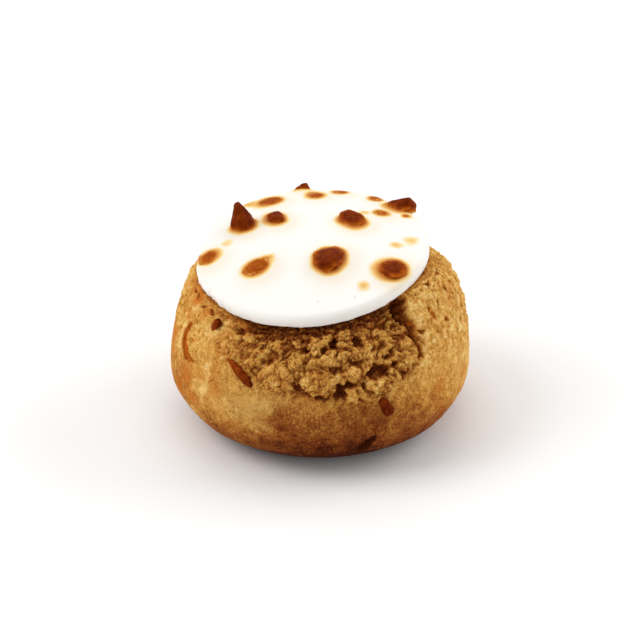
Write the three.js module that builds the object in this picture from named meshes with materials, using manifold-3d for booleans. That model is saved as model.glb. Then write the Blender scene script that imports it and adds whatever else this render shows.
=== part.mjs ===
// A small choux bun with a crumbly craquelin crust, a tilted disc of white icing on its crown
// and caramelised nut pieces set into the icing. Millimetres, +Z up, origin at the middle of the
// flat base. The side with the broken crust is the front and faces -Y.
import * as THREE from "three";
import { ConvexGeometry } from "three/addons/geometries/ConvexGeometry.js";
import { mergeVertices } from "three/addons/utils/BufferGeometryUtils.js";
import Module from "manifold-3d";

const wasm = await Module();
wasm.setup();

// Driving sizes of the bun
const BUN_DIAMETER = 51;
const BELLY_HEIGHT = 10.6; // height of the widest ring above the base
const BELLY_DROP = 13.2; // how far the lower curve would reach below the belly without the flat base
const CROWN_RISE = 24.5; // how far the upper curve would reach above the belly without the icing
const LOWER_FULLNESS = 2.3; // superellipse exponents: 2 is an ellipse, more is squarer
const SHOULDER_FULLNESS = { right: 2.45, back: 2.4, left: 2.06, front: 1.65 };
// The upper shoulder rises under the disc's high side and sinks at the right of it: each wave grows to
// its height between two angles above the belly, round an azimuth
const SHOULDER_WAVES = [
  { height: 1.8, towards: 107, spread: 50, from: 20, to: 38 },
  { height: -1.5, towards: 45, spread: 22, from: 26, to: 38 },
  { height: -1.4, towards: 12, spread: 18, from: 33, to: 44 },
];
const BASE_EDGE_ROUND = 1.0;

// The craquelin crust on the upper half
const CRUST_EDGE_HEIGHT = 16.2;
const CRUST_EDGE_DIP = { depth: 1.8, towards: -80, spread: 18 }; // the crust hangs lower at the front
const CRUST_EDGE_BLEND = 0.55; // half the height over which the crust's lower edge rises
const CRUST_STEP = 0.35; // how far the crust stands proud of the plain choux
const CLUMP_SIZE = 3.3;
const CLUMP_DEPTH = 1.55;
const CLUMP_LEVEL = 0.6; // the part of a clump's height that is level with the dough
const CRUMBLINESS = { right: 0.35, back: 0.45, left: 0.25, front: 0.4 }; // away from the broken patch
const DOUGH_WAVE = { height: 0.25, lengths: [30, 26, 37] }; // slow unevenness of the dough
const LEVEL_FOOT = { from: 1, to: 4 }; // heights over which the unevenness starts above the flat base

// The broken patch at the front, where the crust has sunk beside a cleft, and the width of its borders
const PATCH = { left: -128, right: -46, low: 17.5, high: 27, depth: 1.2 };
const PATCH_FADE = { left: 40, right: 3, low: 3, high: 2 };

// Holes in the crust and a pit in the foot: azimuth from +X in degrees, height, half width and height, depth
const HOLES = [
  { azimuth: -66, height: 18.7, half: [2.6, 1.1], depth: 1.3 },
  { azimuth: -81, height: 16.4, half: [1.5, 1.5], depth: 1.2 },
  { azimuth: -84, height: 22.8, half: [1.1, 1.1], depth: 1.1 },
  { azimuth: -72, height: 6.0, half: [1.5, 1.1], depth: 0.8 },
];

// The icing disc, tilted forwards and to the left on the crown
const DISC_DIAMETER = 38.6;
const DISC_THICKNESS = 2.0;
const DISC_CROWN = 2.2; // height of its dome
const DISC_BEND = { height: 0.55, towards: -28 }; // a slow saddle: the rim is highest towards this azimuth
const DISC_EDGE_ROUND = 0.85;
const DISC_CENTRE = [-1.05, 1.4, 28.4];
const DISC_TILT_FORWARD = 8.2;
const DISC_TILT_LEFT = 4.8;
const DISC_WAVE = 0.12; // unevenness of the hand-cut rim
const SEAT_GAP = 0.35; // air left between two pieces that touch
const RIM_SLOPE = -0.25; // how the crust runs outside the disc's rim: it falls away from it
const RIM_BLEND = 1.5; // width over which the shoulder rounds over below the rim

// Mesh density: the bun's bands of rows, by angle above the belly in degrees, and sides round
const BUN_BANDS = [
  { from: -90, to: -38, rows: 3 },
  { from: -38, to: 6, rows: 10 },
  { from: 6, to: 46, rows: 17 },
  { from: 46, to: 90, rows: 6 },
];
const BUN_SIDES = 140;
const DISC_SIDES = 64;

const degrees = THREE.MathUtils.degToRad;
const smoothstep = THREE.MathUtils.smoothstep;

// Nut pieces: place on the disc (right, back), size (length, width, height above the icing),
// turn of the length about the vertical in degrees, the shift of the top, how far the top is narrowed,
// the share of its full curve at which it is cut flat, and the shares of its height that it loses from
// its middle towards its right and its back, all in the disc's frame.
const NUTS = {
  nut_tall: { at: [-11.5, 6.3], size: [4.9, 4.5, 4.4], turn: -20, lean: [-0.7, 0.4], taper: 0.45, flat: 0.8 },
  nut_small: { at: [-6.2, 7.3], size: [3.3, 4.9, 1.0], turn: 10, flat: 0.7, fall: [0, 0.3] },
  nut_middle: { at: [2.8, -6.3], size: [6.0, 7.0, 1.1], turn: 15, flat: 0.7, fall: [0, 0.5] },
  nut_right_back: {
    at: [6.7, 4.9], size: [5.5, 3.9, 0.9], turn: -38, lean: [-0.6, 0.5], flat: 0.7, fall: [0, -0.4],
  },
  nut_rim_right: {
    at: [15.0, 11.0], size: [5.9, 3.6, 1.9], turn: -25, lean: [0.5, 0.3],
    taper: 0.25, flat: 0.95, fall: [-0.35, 0.1],
  },
  nut_right_front: { at: [13.1, -9.3], size: [5.3, 5.8, 0.7], turn: -35, flat: 0.7, fall: [0, 0.3] },
  nut_rim_back: { at: [-2.0, 18.9], size: [3.4, 1.7, 1.3], turn: 10, lean: [0.7, 0], taper: 0.4 },
  nut_flush_back_left: { at: [-7.3, 14.5], size: [5.0, 3.2, 0.45], turn: 20 },
  nut_flush_left: { at: [-17.6, -1.3], size: [3.9, 2.9, 0.5], turn: 60 },
  nut_flush_front: { at: [-9.4, -6.2], size: [5.9, 3.7, 0.45], turn: 40 },
  nut_flush_back: { at: [0.5, 15.8], size: [3.0, 2.3, 0.5], turn: 0 },
  nut_bump_back: { at: [4.6, 17.3], size: [3.0, 1.7, 0.4], turn: -10 },
  nut_bump_right: { at: [10.8, 14.4], size: [2.7, 1.8, 0.4], turn: -35 },
  nut_chip: { at: [11.6, 8.2], size: [2.6, 1.7, 0.35], turn: -15 },
};
const NUT_SINK = 1.0; // how deep a nut is pressed into the icing
const NUT_POINTS = 20;
const NUT_JITTER = 0.16;
const GOLDEN_ANGLE = Math.PI * (3 - Math.sqrt(5));

// Slivers of nut baked into the crust: azimuth from +X in degrees, height, length, width and slope.
const SLIVERS = [
  { azimuth: -123, height: 17.4, size: [6.4, 1.3], slope: -28 },
  { azimuth: -65.5, height: 13.0, size: [3.8, 2.0], slope: -65 },
  { azimuth: -143, height: 22.6, size: [2.5, 1.5], slope: 60 },
  { azimuth: 28, height: 18.0, size: [4.6, 1.6], slope: 30 },
  { azimuth: 96, height: 15.5, size: [5.2, 1.5], slope: -25 },
  { azimuth: 138, height: 19.0, size: [3.0, 1.7], slope: 50 },
];
const SLIVER_THICKNESS = 1.4;

// A repeatable number from 0 to 1 for a whole-number triple and a channel.
function scatter(i, j, k, channel) {
  const wave = Math.sin(i * 127.1 + j * 311.7 + k * 74.7 + channel * 53.3) * 43758.5453;
  return wave - Math.floor(wave);
}

// Four values at +X, +Y, -X and -Y joined round the bun by a short Fourier sum.
function around(values, azimuth) {
  const { right, back, left, front } = values;
  return (
    (right + back + left + front) / 4 +
    ((right - left) / 2) * Math.cos(azimuth) +
    ((back - front) / 2) * Math.sin(azimuth) +
    ((right + left - back - front) / 4) * Math.cos(2 * azimuth)
  );
}

// Rounded clumps on a jittered lattice: near 1 on top of a clump and 0 in the crevices.
function clumps(point, cell) {
  const home = point.clone().divideScalar(cell);
  const [hx, hy, hz] = home.toArray().map(Math.floor);
  const seed = new THREE.Vector3();
  let highest = 0;
  for (let i = hx - 1; i <= hx + 1; i++)
    for (let j = hy - 1; j <= hy + 1; j++)
      for (let k = hz - 1; k <= hz + 1; k++) {
        seed.set(i + scatter(i, j, k, 1), j + scatter(i, j, k, 2), k + scatter(i, j, k, 3));
        const reach = 0.55 + 0.45 * scatter(i, j, k, 4);
        const away = seed.distanceTo(home) / reach;
        highest = Math.max(highest, reach * Math.sqrt(Math.max(0, 1 - away * away)));
      }
  return highest;
}

// Polar radius of a superellipse with half-axes `wide` and `tall` at an angle above the horizontal.
function superellipse(wide, tall, fullness, angle) {
  const across = Math.abs(Math.cos(angle)) / wide;
  const upward = Math.abs(Math.sin(angle)) / tall;
  return (across ** fullness + upward ** fullness) ** (-1 / fullness);
}

// The smaller of two lengths, with the corner where they meet rounded off over `blend`.
function roundedMin(a, b, blend) {
  const h = THREE.MathUtils.clamp(0.5 + (0.5 * (b - a)) / blend, 0, 1);
  return THREE.MathUtils.lerp(b, a, h) - blend * h * (1 - h);
}

// A smooth hump round an azimuth: 1 at `towards` and falling off over `spread`, both in degrees.
function hump(azimuth, { towards, spread }) {
  const turn = THREE.MathUtils.radToDeg(azimuth) - towards;
  const away = THREE.MathUtils.euclideanModulo(turn + 180, 360) - 180;
  return Math.exp(-((away / spread) ** 2));
}

// Distance from the belly's centre to the plain dough, at an angle above the horizontal.
function doughRadius(angle, azimuth) {
  const wide = BUN_DIAMETER / 2;
  if (angle >= 0) {
    const shoulder = superellipse(wide, CROWN_RISE, around(SHOULDER_FULLNESS, azimuth), angle);
    const waves = SHOULDER_WAVES.map(
      (wave) => wave.height * smoothstep(angle, degrees(wave.from), degrees(wave.to)) * hump(azimuth, wave),
    );
    return waves.reduce((sum, wave) => sum + wave, shoulder);
  }
  const curve = superellipse(wide, BELLY_DROP, LOWER_FULLNESS, angle);
  return roundedMin(curve, BELLY_HEIGHT / -Math.sin(angle), BASE_EDGE_ROUND);
}

// A point in the direction (angle, azimuth), `radius` from the belly's centre.
function fromBelly(angle, azimuth, radius) {
  const level = radius * Math.cos(angle);
  const height = BELLY_HEIGHT + radius * Math.sin(angle);
  return new THREE.Vector3(level * Math.cos(azimuth), level * Math.sin(azimuth), height);
}

// Smoothly 1 inside an interval and 0 outside it, with its own fade at each end.
function within(value, low, high, fadeLow, fadeHigh) {
  return smoothstep(value, low, low + fadeLow) * (1 - smoothstep(value, high, high + fadeHigh));
}

// Depth of the holes at a point: each is a smooth round dip.
function holeDepth(point, azimuth) {
  const level = Math.hypot(point.x, point.y);
  let depth = 0;
  for (const hole of HOLES) {
    const across = ((azimuth - degrees(hole.azimuth)) * level) / hole.half[0];
    const upward = (point.z - hole.height) / hole.half[1];
    depth += hole.depth * Math.max(0, 1 - (across ** 2 + upward ** 2) / 2) ** 2;
  }
  return depth;
}

// How far the crust's relief lifts or sinks the dough's surface at a point.
function relief(point, azimuth) {
  const [waveX, waveY, waveZ] = point.toArray().map((v, n) => (2 * Math.PI * v) / DOUGH_WAVE.lengths[n]);
  const wave = DOUGH_WAVE.height * Math.sin(waveX + 1.3) * Math.cos(waveY + waveZ);
  const edge = CRUST_EDGE_HEIGHT - CRUST_EDGE_DIP.depth * hump(azimuth, CRUST_EDGE_DIP);
  const crust = smoothstep(point.z, edge - CRUST_EDGE_BLEND, edge + CRUST_EDGE_BLEND);
  const turn = THREE.MathUtils.radToDeg(azimuth);
  const broken = within(turn, PATCH.left, PATCH.right, PATCH_FADE.left, PATCH_FADE.right);
  const patch = broken * within(point.z, PATCH.low, PATCH.high, PATCH_FADE.low, PATCH_FADE.high);
  const crumbly = THREE.MathUtils.lerp(around(CRUMBLINESS, azimuth), 1, broken);
  const crumb = CLUMP_DEPTH * crumbly * (clumps(point, CLUMP_SIZE) - CLUMP_LEVEL);
  const resting = smoothstep(point.z, LEVEL_FOOT.from, LEVEL_FOOT.to);
  return resting * wave + crust * (CRUST_STEP + crumb - PATCH.depth * patch) - holeDepth(point, azimuth);
}

// The disc's frame: where its middle plane sits on the crown.
const discFrame = new THREE.Group();
discFrame.position.fromArray(DISC_CENTRE);
discFrame.rotation.set(degrees(DISC_TILT_FORWARD), degrees(-DISC_TILT_LEFT), 0);
discFrame.updateMatrix();
const intoDisc = discFrame.matrix.clone().invert();

// Height of the disc's middle surface above its own plane: a dome and a saddle, both growing with
// the square of the distance from the middle.
function domeHeight(x, y) {
  const share = (x * x + y * y) / (DISC_DIAMETER / 2) ** 2;
  const bend = DISC_BEND.height * Math.cos(2 * (Math.atan2(y, x) - degrees(DISC_BEND.towards)));
  return DISC_CROWN * (1 - share) + bend * share;
}

// Lowers a point of the bun so that the crown stays under the icing and clear of its rim.
function underIcing(point) {
  const local = point.clone().applyMatrix4(intoDisc);
  const radius = Math.hypot(local.x, local.y);
  const rim = DISC_DIAMETER / 2 + DISC_WAVE + SEAT_GAP;
  const inward = Math.min(1, rim / radius);
  const ceiling = domeHeight(local.x * inward, local.y * inward) - DISC_THICKNESS / 2 - SEAT_GAP;
  const outside = Math.max(0, radius - rim);
  local.z = roundedMin(local.z, ceiling + RIM_SLOPE * outside, RIM_BLEND);
  return local.applyMatrix4(discFrame.matrix);
}

// One point of the finished crust.
function crustPoint(angle, azimuth) {
  const plain = doughRadius(angle, azimuth);
  const lift = relief(fromBelly(angle, azimuth, plain), azimuth);
  const point = fromBelly(angle, azimuth, plain + lift);
  return angle > 0 ? underIcing(point) : point;
}

// Angles of the bun's rows from the base's middle to the crown, without the pole itself.
function rowAngles() {
  const angles = BUN_BANDS.flatMap(({ from, to, rows }) =>
    Array.from({ length: rows }, (_, row) => degrees(THREE.MathUtils.lerp(from, to, row / rows))),
  );
  return angles.slice(1);
}

// A closed indexed surface of rings between two poles.
function closedRings(rings, lowPole, highPole) {
  const sides = rings[0].length;
  const points = [lowPole, ...rings.flat(), highPole];
  const last = points.length - 1;
  const at = (row, side) => 1 + row * sides + (side % sides);
  const index = [];
  for (let side = 0; side < sides; side++) {
    index.push(0, at(0, side + 1), at(0, side));
    for (let row = 0; row + 1 < rings.length; row++) {
      const [a, b] = [at(row, side), at(row, side + 1)];
      const [c, d] = [at(row + 1, side), at(row + 1, side + 1)];
      index.push(a, b, d, a, d, c);
    }
    index.push(last, at(rings.length - 1, side), at(rings.length - 1, side + 1));
  }
  return new THREE.BufferGeometry().setFromPoints(points).setIndex(index);
}

function bunGeometry() {
  const rings = rowAngles().map((angle) =>
    Array.from({ length: BUN_SIDES }, (_, side) => {
      const azimuth = THREE.MathUtils.euclideanModulo((side / BUN_SIDES) * 360 + 180, 360) - 180;
      return crustPoint(angle, degrees(azimuth));
    }),
  );
  return closedRings(rings, new THREE.Vector3(), crustPoint(Math.PI / 2, 0));
}

// An irregular chunk, widest at its own zero height: points spread over two half ellipsoids by the
// golden angle, jittered, then hulled. It reaches from -sink to the height; its top is narrowed by
// `taper`, shifted by `lean` and cut at the share `flat`, its height changes by `fall` from its middle
// to its right and its back, seen after its turn, and `grow` makes it larger all round.
function chunk({ size, sink, turn = 0, taper = 0, lean = [0, 0], flat = 1, fall = [0, 0], seed, grow = 0 }) {
  const [length, width, height] = size;
  const points = Array.from({ length: NUT_POINTS }, (_, n) => {
    const up = 1 - (2 * (n + 0.5)) / NUT_POINTS;
    const round = n * GOLDEN_ANGLE + seed;
    const uneven = 1 + NUT_JITTER * (2 * scatter(n, seed, 0, 5) - 1);
    const level = Math.sqrt(1 - up * up) * uneven;
    const rise = Math.min(1, Math.max(0, up) / flat);
    const narrow = 1 - taper * rise;
    const x = (length / 2 + grow) * level * Math.cos(round) * narrow + lean[0] * rise;
    const y = (width / 2 + grow) * level * Math.sin(round) * narrow + lean[1] * rise;
    const right = (x * Math.cos(degrees(turn)) - y * Math.sin(degrees(turn))) / (length / 2);
    const back = (x * Math.sin(degrees(turn)) + y * Math.cos(degrees(turn))) / (width / 2);
    const [toRight, toBack] = [right, back].map((side) => THREE.MathUtils.clamp(side, -1, 1));
    const share = 1 - fall[0] * toRight - fall[1] * toBack;
    return new THREE.Vector3(x, y, up > 0 ? (height + grow) * rise * share : (sink + grow) * up);
  });
  return new ConvexGeometry(points);
}

// A closed geometry as a solid, and a solid back as a geometry.
function toSolid(geometry) {
  const bare = geometry.clone();
  bare.deleteAttribute("normal");
  bare.deleteAttribute("uv");
  const merged = mergeVertices(bare, 1e-4);
  return new wasm.Manifold(
    new wasm.Mesh({
      numProp: 3,
      vertProperties: new Float32Array(merged.attributes.position.array),
      triVerts: new Uint32Array(merged.index.array),
    }),
  );
}

function toGeometry(solid) {
  const mesh = solid.getMesh();
  const geometry = new THREE.BufferGeometry();
  geometry.setAttribute("position", new THREE.BufferAttribute(mesh.vertProperties, 3));
  geometry.setIndex(new THREE.BufferAttribute(mesh.triVerts, 1));
  geometry.computeVertexNormals();
  return geometry;
}

// A sliver lying half sunk in the crust at an azimuth and height, its length sloped in the surface.
function sliverGeometry({ azimuth, height, size, slope }, n) {
  const turn = degrees(azimuth);
  let angle = 0;
  for (let step = 0; step < 20; step++) {
    const reach = doughRadius(angle, turn);
    angle = Math.asin(THREE.MathUtils.clamp((height - BELLY_HEIGHT) / reach, -1, 1));
  }
  const outward = fromBelly(angle, turn, 1).sub(new THREE.Vector3(0, 0, BELLY_HEIGHT));
  const along = new THREE.Vector3(-Math.sin(turn), Math.cos(turn), 0);
  const upward = new THREE.Vector3().crossVectors(outward, along);
  const basis = new THREE.Matrix4().makeBasis(along, upward, outward).setPosition(crustPoint(angle, turn));
  const sunk = SLIVER_THICKNESS / 2;
  const shape = chunk({ size: [...size, sunk], sink: sunk, seed: 40 + n });
  return shape.rotateZ(degrees(slope)).applyMatrix4(basis);
}

// The icing disc: its flat section, from the axis below, round the rolled edge, to the axis above, is
// turned about the axis, then made uneven round the rim and laid on the dome.
function discGeometry() {
  const half = DISC_THICKNESS / 2;
  const outer = DISC_DIAMETER / 2;
  const inner = outer - DISC_EDGE_ROUND;
  const spans = [0, 0.3, 0.55, 0.78, 1].map((share) => share * inner);
  const under = spans.map((radius) => new THREE.Vector2(radius, -half));
  const over = spans.map((radius) => new THREE.Vector2(radius, half)).reverse();
  const edge = [-55, -20, 20, 55].map((turn) => {
    const radius = inner + DISC_EDGE_ROUND * Math.cos(degrees(turn));
    return new THREE.Vector2(radius, half * Math.sin(degrees(turn)));
  });
  const geometry = new THREE.LatheGeometry([...under, ...edge, ...over], DISC_SIDES).rotateX(Math.PI / 2);
  const position = geometry.attributes.position;
  for (let n = 0; n < position.count; n++) {
    const [x, y] = [position.getX(n), position.getY(n)];
    const turn = Math.atan2(y, x);
    const wave = 1 + (DISC_WAVE / DISC_DIAMETER) * (Math.cos(2 * turn + 0.7) + Math.cos(5 * turn));
    position.setXYZ(n, x * wave, y * wave, position.getZ(n) + domeHeight(x, y));
  }
  return geometry;
}

// A nut's place on the disc: on the top of the dome, square to its slope.
function nutPlace({ at: [x, y], turn }) {
  const height = domeHeight(x, y) + DISC_THICKNESS / 2;
  const slopeX = (domeHeight(x + 1, y) - domeHeight(x - 1, y)) / 2;
  const slopeY = (domeHeight(x, y + 1) - domeHeight(x, y - 1)) / 2;
  const normal = new THREE.Vector3(-slopeX, -slopeY, 1).normalize();
  const upright = new THREE.Vector3(0, 0, 1);
  const place = new THREE.Object3D();
  place.position.set(x, y, height);
  place.quaternion.setFromUnitVectors(upright, normal);
  place.rotateZ(degrees(turn));
  place.updateMatrix();
  return place;
}

const crustFinish = new THREE.MeshStandardMaterial({ color: 0xc08a45, roughness: 0.9, metalness: 0 });
const icingFinish = new THREE.MeshStandardMaterial({ color: 0xfbf8f2, roughness: 0.5, metalness: 0 });
const nutFinish = new THREE.MeshStandardMaterial({ color: 0x7a3208, roughness: 0.4, metalness: 0 });

function named(name, geometry, finish) {
  const mesh = new THREE.Mesh(geometry, finish);
  mesh.name = name;
  return mesh;
}

const pastry = new THREE.Group();
pastry.add(discFrame);

// The bun, with its slivers fused on
const bunSolid = SLIVERS.reduce(
  (solid, sliver, n) => solid.add(toSolid(sliverGeometry(sliver, n))),
  toSolid(bunGeometry()),
);
pastry.add(named("choux_bun", toGeometry(bunSolid), crustFinish));

// The nuts, each in a pocket pressed into the icing
let icing = toSolid(discGeometry());
Object.entries(NUTS).forEach(([name, nut], n) => {
  const place = nutPlace(nut);
  const form = { ...nut, sink: NUT_SINK, seed: n + 1 };
  const pocket = chunk({ ...form, grow: SEAT_GAP }).applyMatrix4(place.matrix);
  icing = icing.subtract(toSolid(pocket));
  const mesh = named(name, chunk(form), nutFinish);
  mesh.position.copy(place.position);
  mesh.quaternion.copy(place.quaternion);
  discFrame.add(mesh);
});
discFrame.add(named("icing_disc", toGeometry(icing), icingFinish));

export default pastry;
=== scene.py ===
"""Looks of a choux bun: a crumbly craquelin crust, a tilted disc of white icing and caramelised nuts.

Shapes are worked out in millimetres in the part's own frame and become metres as each mesh is made.
Azimuth 0 is +X, so the front, -Y, is at -90 degrees. Heights are above the flat base.
"""
import math

import bpy
import numpy as np
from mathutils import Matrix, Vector


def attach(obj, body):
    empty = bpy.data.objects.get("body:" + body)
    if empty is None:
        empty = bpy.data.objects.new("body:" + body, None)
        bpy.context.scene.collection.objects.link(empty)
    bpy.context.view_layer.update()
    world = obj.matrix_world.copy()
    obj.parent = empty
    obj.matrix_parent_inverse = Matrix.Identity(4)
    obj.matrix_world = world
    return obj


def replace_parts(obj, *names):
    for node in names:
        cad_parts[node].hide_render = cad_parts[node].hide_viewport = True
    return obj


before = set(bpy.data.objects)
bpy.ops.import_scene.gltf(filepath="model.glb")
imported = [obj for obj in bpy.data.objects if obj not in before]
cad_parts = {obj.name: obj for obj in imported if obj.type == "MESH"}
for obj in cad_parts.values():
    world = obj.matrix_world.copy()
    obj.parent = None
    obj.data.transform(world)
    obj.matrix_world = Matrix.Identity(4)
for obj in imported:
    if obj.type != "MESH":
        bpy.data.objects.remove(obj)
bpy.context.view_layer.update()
NUT_NAMES = sorted(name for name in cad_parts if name.startswith("nut_"))
MM = 0.001
TINY = 1e-6

# The bun's form, as in its solid
BUN_DIAMETER = 51.0
BELLY_HEIGHT = 10.6
BELLY_DROP = 13.2
CROWN_RISE = 24.5
LOWER_FULLNESS = 2.3
SHOULDER_FULLNESS = {"right": 2.45, "back": 2.4, "left": 2.06, "front": 1.65}
# Waves of the upper shoulder: height, azimuth, spread, and the angles above the belly over which each grows
SHOULDER_WAVES = (
    (1.8, 107.0, 50.0, 20.0, 38.0),
    (-1.5, 45.0, 22.0, 26.0, 38.0),
    (-1.4, 12.0, 18.0, 33.0, 44.0),
)
BELLY_CENTRE = np.array([0.0, 0.0, BELLY_HEIGHT])
BASE_EDGE_ROUND = 1.0
# The dough's slow wave and its grain, and the heights over which both begin, above the level foot
DOUGH_WAVE, DOUGH_WAVE_LENGTHS, DOUGH_WAVE_PHASE = 0.25, (30.0, 26.0, 37.0), 1.3
DOUGH_GRAIN, DOUGH_GRAIN_SIZE = 0.06, 2.2
LEVEL_FOOT = (1.0, 4.0)

# The craquelin crust: its lower edge, which dips towards an azimuth over a spread and turns from a long fade
# to a frayed edge between two azimuths, and its step. Pairs of values are for whole and for broken crust.
CRUST_EDGE_HEIGHT = 16.2
CRUST_EDGE_DIP, CRUST_DIP_TOWARDS = 1.8, (-80.0, 18.0)
CRUST_EDGE_BLEND = (4.0, 0.6)
CRUST_EDGE_FRAY, CRUST_FRAY_SIZE = 1.0, 2.6
SHARP_EDGE_TURN = (-118.0, -98.0)
CRUST_STEP, CRUST_STEP_AT_DIP = (0.1, 0.2), 0.4
# How crumbly and how pitted it is round the bun
CRUMBLINESS = {"right": 0.46, "back": 0.38, "left": 0.28, "front": 0.3}
PITTEDNESS = {"right": 1.0, "back": 0.8, "left": 0.6, "front": 0.8}
# Its flakes, grains and dust, the levels of flakes and of grains that count as its plain surface, and the
# shares of the grain and of the pockets that whole crust has
BIG_FLAKE_SIZE, BIG_FLAKE_HEIGHT = 2.3, 0.95
SMALL_FLAKE_SIZE, SMALL_FLAKE_HEIGHT = 1.1, 0.48
FLAKE_LEVELS, FLAKE_BEVEL, FLAKE_TILT = (0.35, 1.0), 0.42, 0.6
FLAKE_PLAIN = 0.5
GRAIN_SIZE, GRAIN_HEIGHT, WHOLE_GRAIN = 0.55, 0.2, 0.5
GRAIN_REACH, GRAIN_PLAIN = (0.55, 1.0), 0.6
DUST_SIZE, DUST_HEIGHT = 0.5, 0.07
# Its pockets and pits: spacing, the share of places that have one, depth, and reach in shares of the spacing
POCKET_SPACING, POCKET_SHARE, POCKET_DEPTH, WHOLE_POCKETS = 3.4, 0.5, 0.25, 0.5
PIT_SPACING, PIT_SHARE, PIT_DEPTH = 1.6, 0.45, 0.42
PIT_REACH, PIT_ROUNDNESS = (0.11, 0.29), 0.7
# How the flakes and the pits are bent: size and amount
COARSE_BEND, FINE_BEND, PIT_BEND = (1.6, 0.5), (0.7, 0.2), (0.6, 0.25)

# The broken patch at the front: azimuths and heights of its borders, how far they fade and wander, its depth,
# and a hollow in it towards an azimuth over a spread
PATCH_TURN = (-142.0, -48.0)
PATCH_TURN_FADE = (22.0, 5.0)
PATCH_WANDER, PATCH_WANDER_SIZE = 2.5, 3.0
PATCH_HEIGHT = (17.0, 27.5)
PATCH_HEIGHT_FADE = (8.0, 2.0)
PATCH_DEPTH = 1.2
HOLLOW_DEPTH, HOLLOW_TOWARDS, HOLLOW_HEIGHT = 0.9, (-55.0, 9.0), (21.5, 26.0)
# Its lower right corner is cut off: how far its border moves left there, and over which heights and azimuths
CORNER_CUT, CORNER_HEIGHT, CORNER_TURN = 10.0, (15.5, 19.0), (-100.0, -70.0)

# Holes and pockets in the crust and the pit in the foot, as ovals: azimuth, height, half width, half height,
# slope and depth
HOLES = (
    (-66.5, 18.6, 2.3, 0.95, 14.0, 1.6),
    (-59.5, 18.9, 1.3, 0.45, 5.0, 0.8),
    (-80.0, 16.8, 1.9, 0.55, 4.0, 1.1),
    (-82.0, 15.9, 0.7, 1.30, -8.0, 1.2),
    (-84.0, 22.9, 0.8, 0.9, 0.0, 1.2),
    (-84.0, 19.2, 1.5, 0.45, 8.0, 0.6),
    (-91.5, 18.8, 0.9, 0.40, 0.0, 0.5),
    (-96.0, 22.2, 0.9, 0.50, 0.0, 0.8),
    (-89.0, 22.0, 0.5, 0.50, 0.0, 0.5),
    (-72.0, 23.1, 0.9, 0.60, 20.0, 0.7),
    (-76.0, 20.3, 1.2, 0.45, 5.0, 0.6),
    (-60.0, 20.5, 0.9, 0.35, 8.0, 0.6),
    (-117.0, 22.0, 0.5, 0.8, 0.0, 0.5),
    (-98.5, 16.5, 1.1, 0.55, -15.0, 0.5),
    (-90.5, 15.5, 0.8, 0.40, 0.0, 0.7),
    (-73.0, 16.8, 0.5, 0.50, 0.0, 0.6),
    (-63.5, 17.7, 0.45, 0.55, 0.0, 0.6),
    (-111.5, 19.4, 0.45, 0.65, 0.0, 0.4),
    (-71.5, 6.0, 1.9, 0.85, 42.0, 1.3),
    (-26.0, 27.7, 0.6, 0.5, 0.0, 0.6),
    (-33.3, 23.6, 0.55, 0.45, -30.0, 0.35),
    (-25.5, 22.3, 0.4, 0.6, -40.0, 0.5),
    (-26.6, 24.8, 0.45, 0.35, 0.0, 0.4),
    (-17.4, 25.8, 0.4, 0.5, 0.0, 0.4),
    (-18.0, 22.9, 0.4, 0.3, 0.0, 0.35),
    (-169.5, 24.2, 0.6, 0.35, 20.0, 0.6),
    (-164.9, 24.3, 0.5, 0.4, 0.0, 0.5),
    (-155.3, 23.8, 0.4, 0.3, 0.0, 0.4),
    (-150.0, 24.0, 0.7, 0.4, 0.0, 0.6),
    (-130.6, 22.9, 0.6, 0.6, 0.0, 0.8),
)
# Large lumps of the broken patch, in the same terms, with their rise
LUMPS = (
    (-90.5, 17.4, 2.9, 1.9, 0.0, 0.8),
    (-77.4, 15.9, 1.9, 1.2, 10.0, 0.7),
    (-68.0, 17.3, 2.0, 1.2, 20.0, 0.7),
    (-77.0, 18.8, 1.0, 1.4, 0.0, 0.8),
    (-107.0, 17.9, 2.6, 2.0, 0.0, 0.6),
    (-58.0, 22.8, 1.1, 1.7, 0.0, 0.9),
    (-51.0, 20.4, 1.5, 2.4, -10.0, 0.9),
    (-110.0, 22.2, 1.3, 0.9, 0.0, 0.7),
    (-118.0, 20.0, 1.6, 1.5, 0.0, 0.6),
    (-88.0, 20.6, 2.2, 1.1, 10.0, 0.6),
    (-72.0, 21.6, 1.7, 1.0, -10.0, 0.6),
    (-100.0, 20.6, 1.5, 1.0, 15.0, 0.6),
    (-115.5, 22.0, 1.1, 0.9, 0.0, 0.7),
    (-110.1, 22.7, 0.9, 0.7, 0.0, 0.6),
    (-101.5, 22.8, 0.9, 0.7, 0.0, 0.6),
    (-90.5, 23.4, 1.3, 0.8, 0.0, 0.7),
    (-125.0, 22.6, 1.2, 0.9, 0.0, 0.6),
)
# The cleft beside the right shoulder: azimuth, height, half width and depth along it, from the top
CLEFT = (
    (-43.6, 27.6, 0.95, 2.0),
    (-46.0, 25.3, 0.85, 1.8),
    (-45.0, 23.8, 0.70, 1.6),
    (-46.6, 22.1, 0.50, 1.2),
    (-45.8, 20.6, 0.42, 1.0),
    (-46.3, 18.8, 0.30, 0.6),
)
# Short cracks in the same terms: from the cleft into the shoulder, beside the rim at the right, and low
# beside the patch
CRACKS = (
    ((-45.0, 22.9, 0.4, 0.9), (-39.8, 22.4, 0.2, 0.5)),
    ((-7.5, 28.5, 0.3, 0.5), (-11.0, 28.2, 0.35, 0.7), (-14.5, 27.8, 0.25, 0.5)),
    ((-0.5, 28.3, 0.25, 0.4), (-1.5, 27.2, 0.25, 0.3)),
    ((-54.6, 17.9, 0.3, 0.5), (-56.6, 16.6, 0.2, 0.3)),
)
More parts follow.
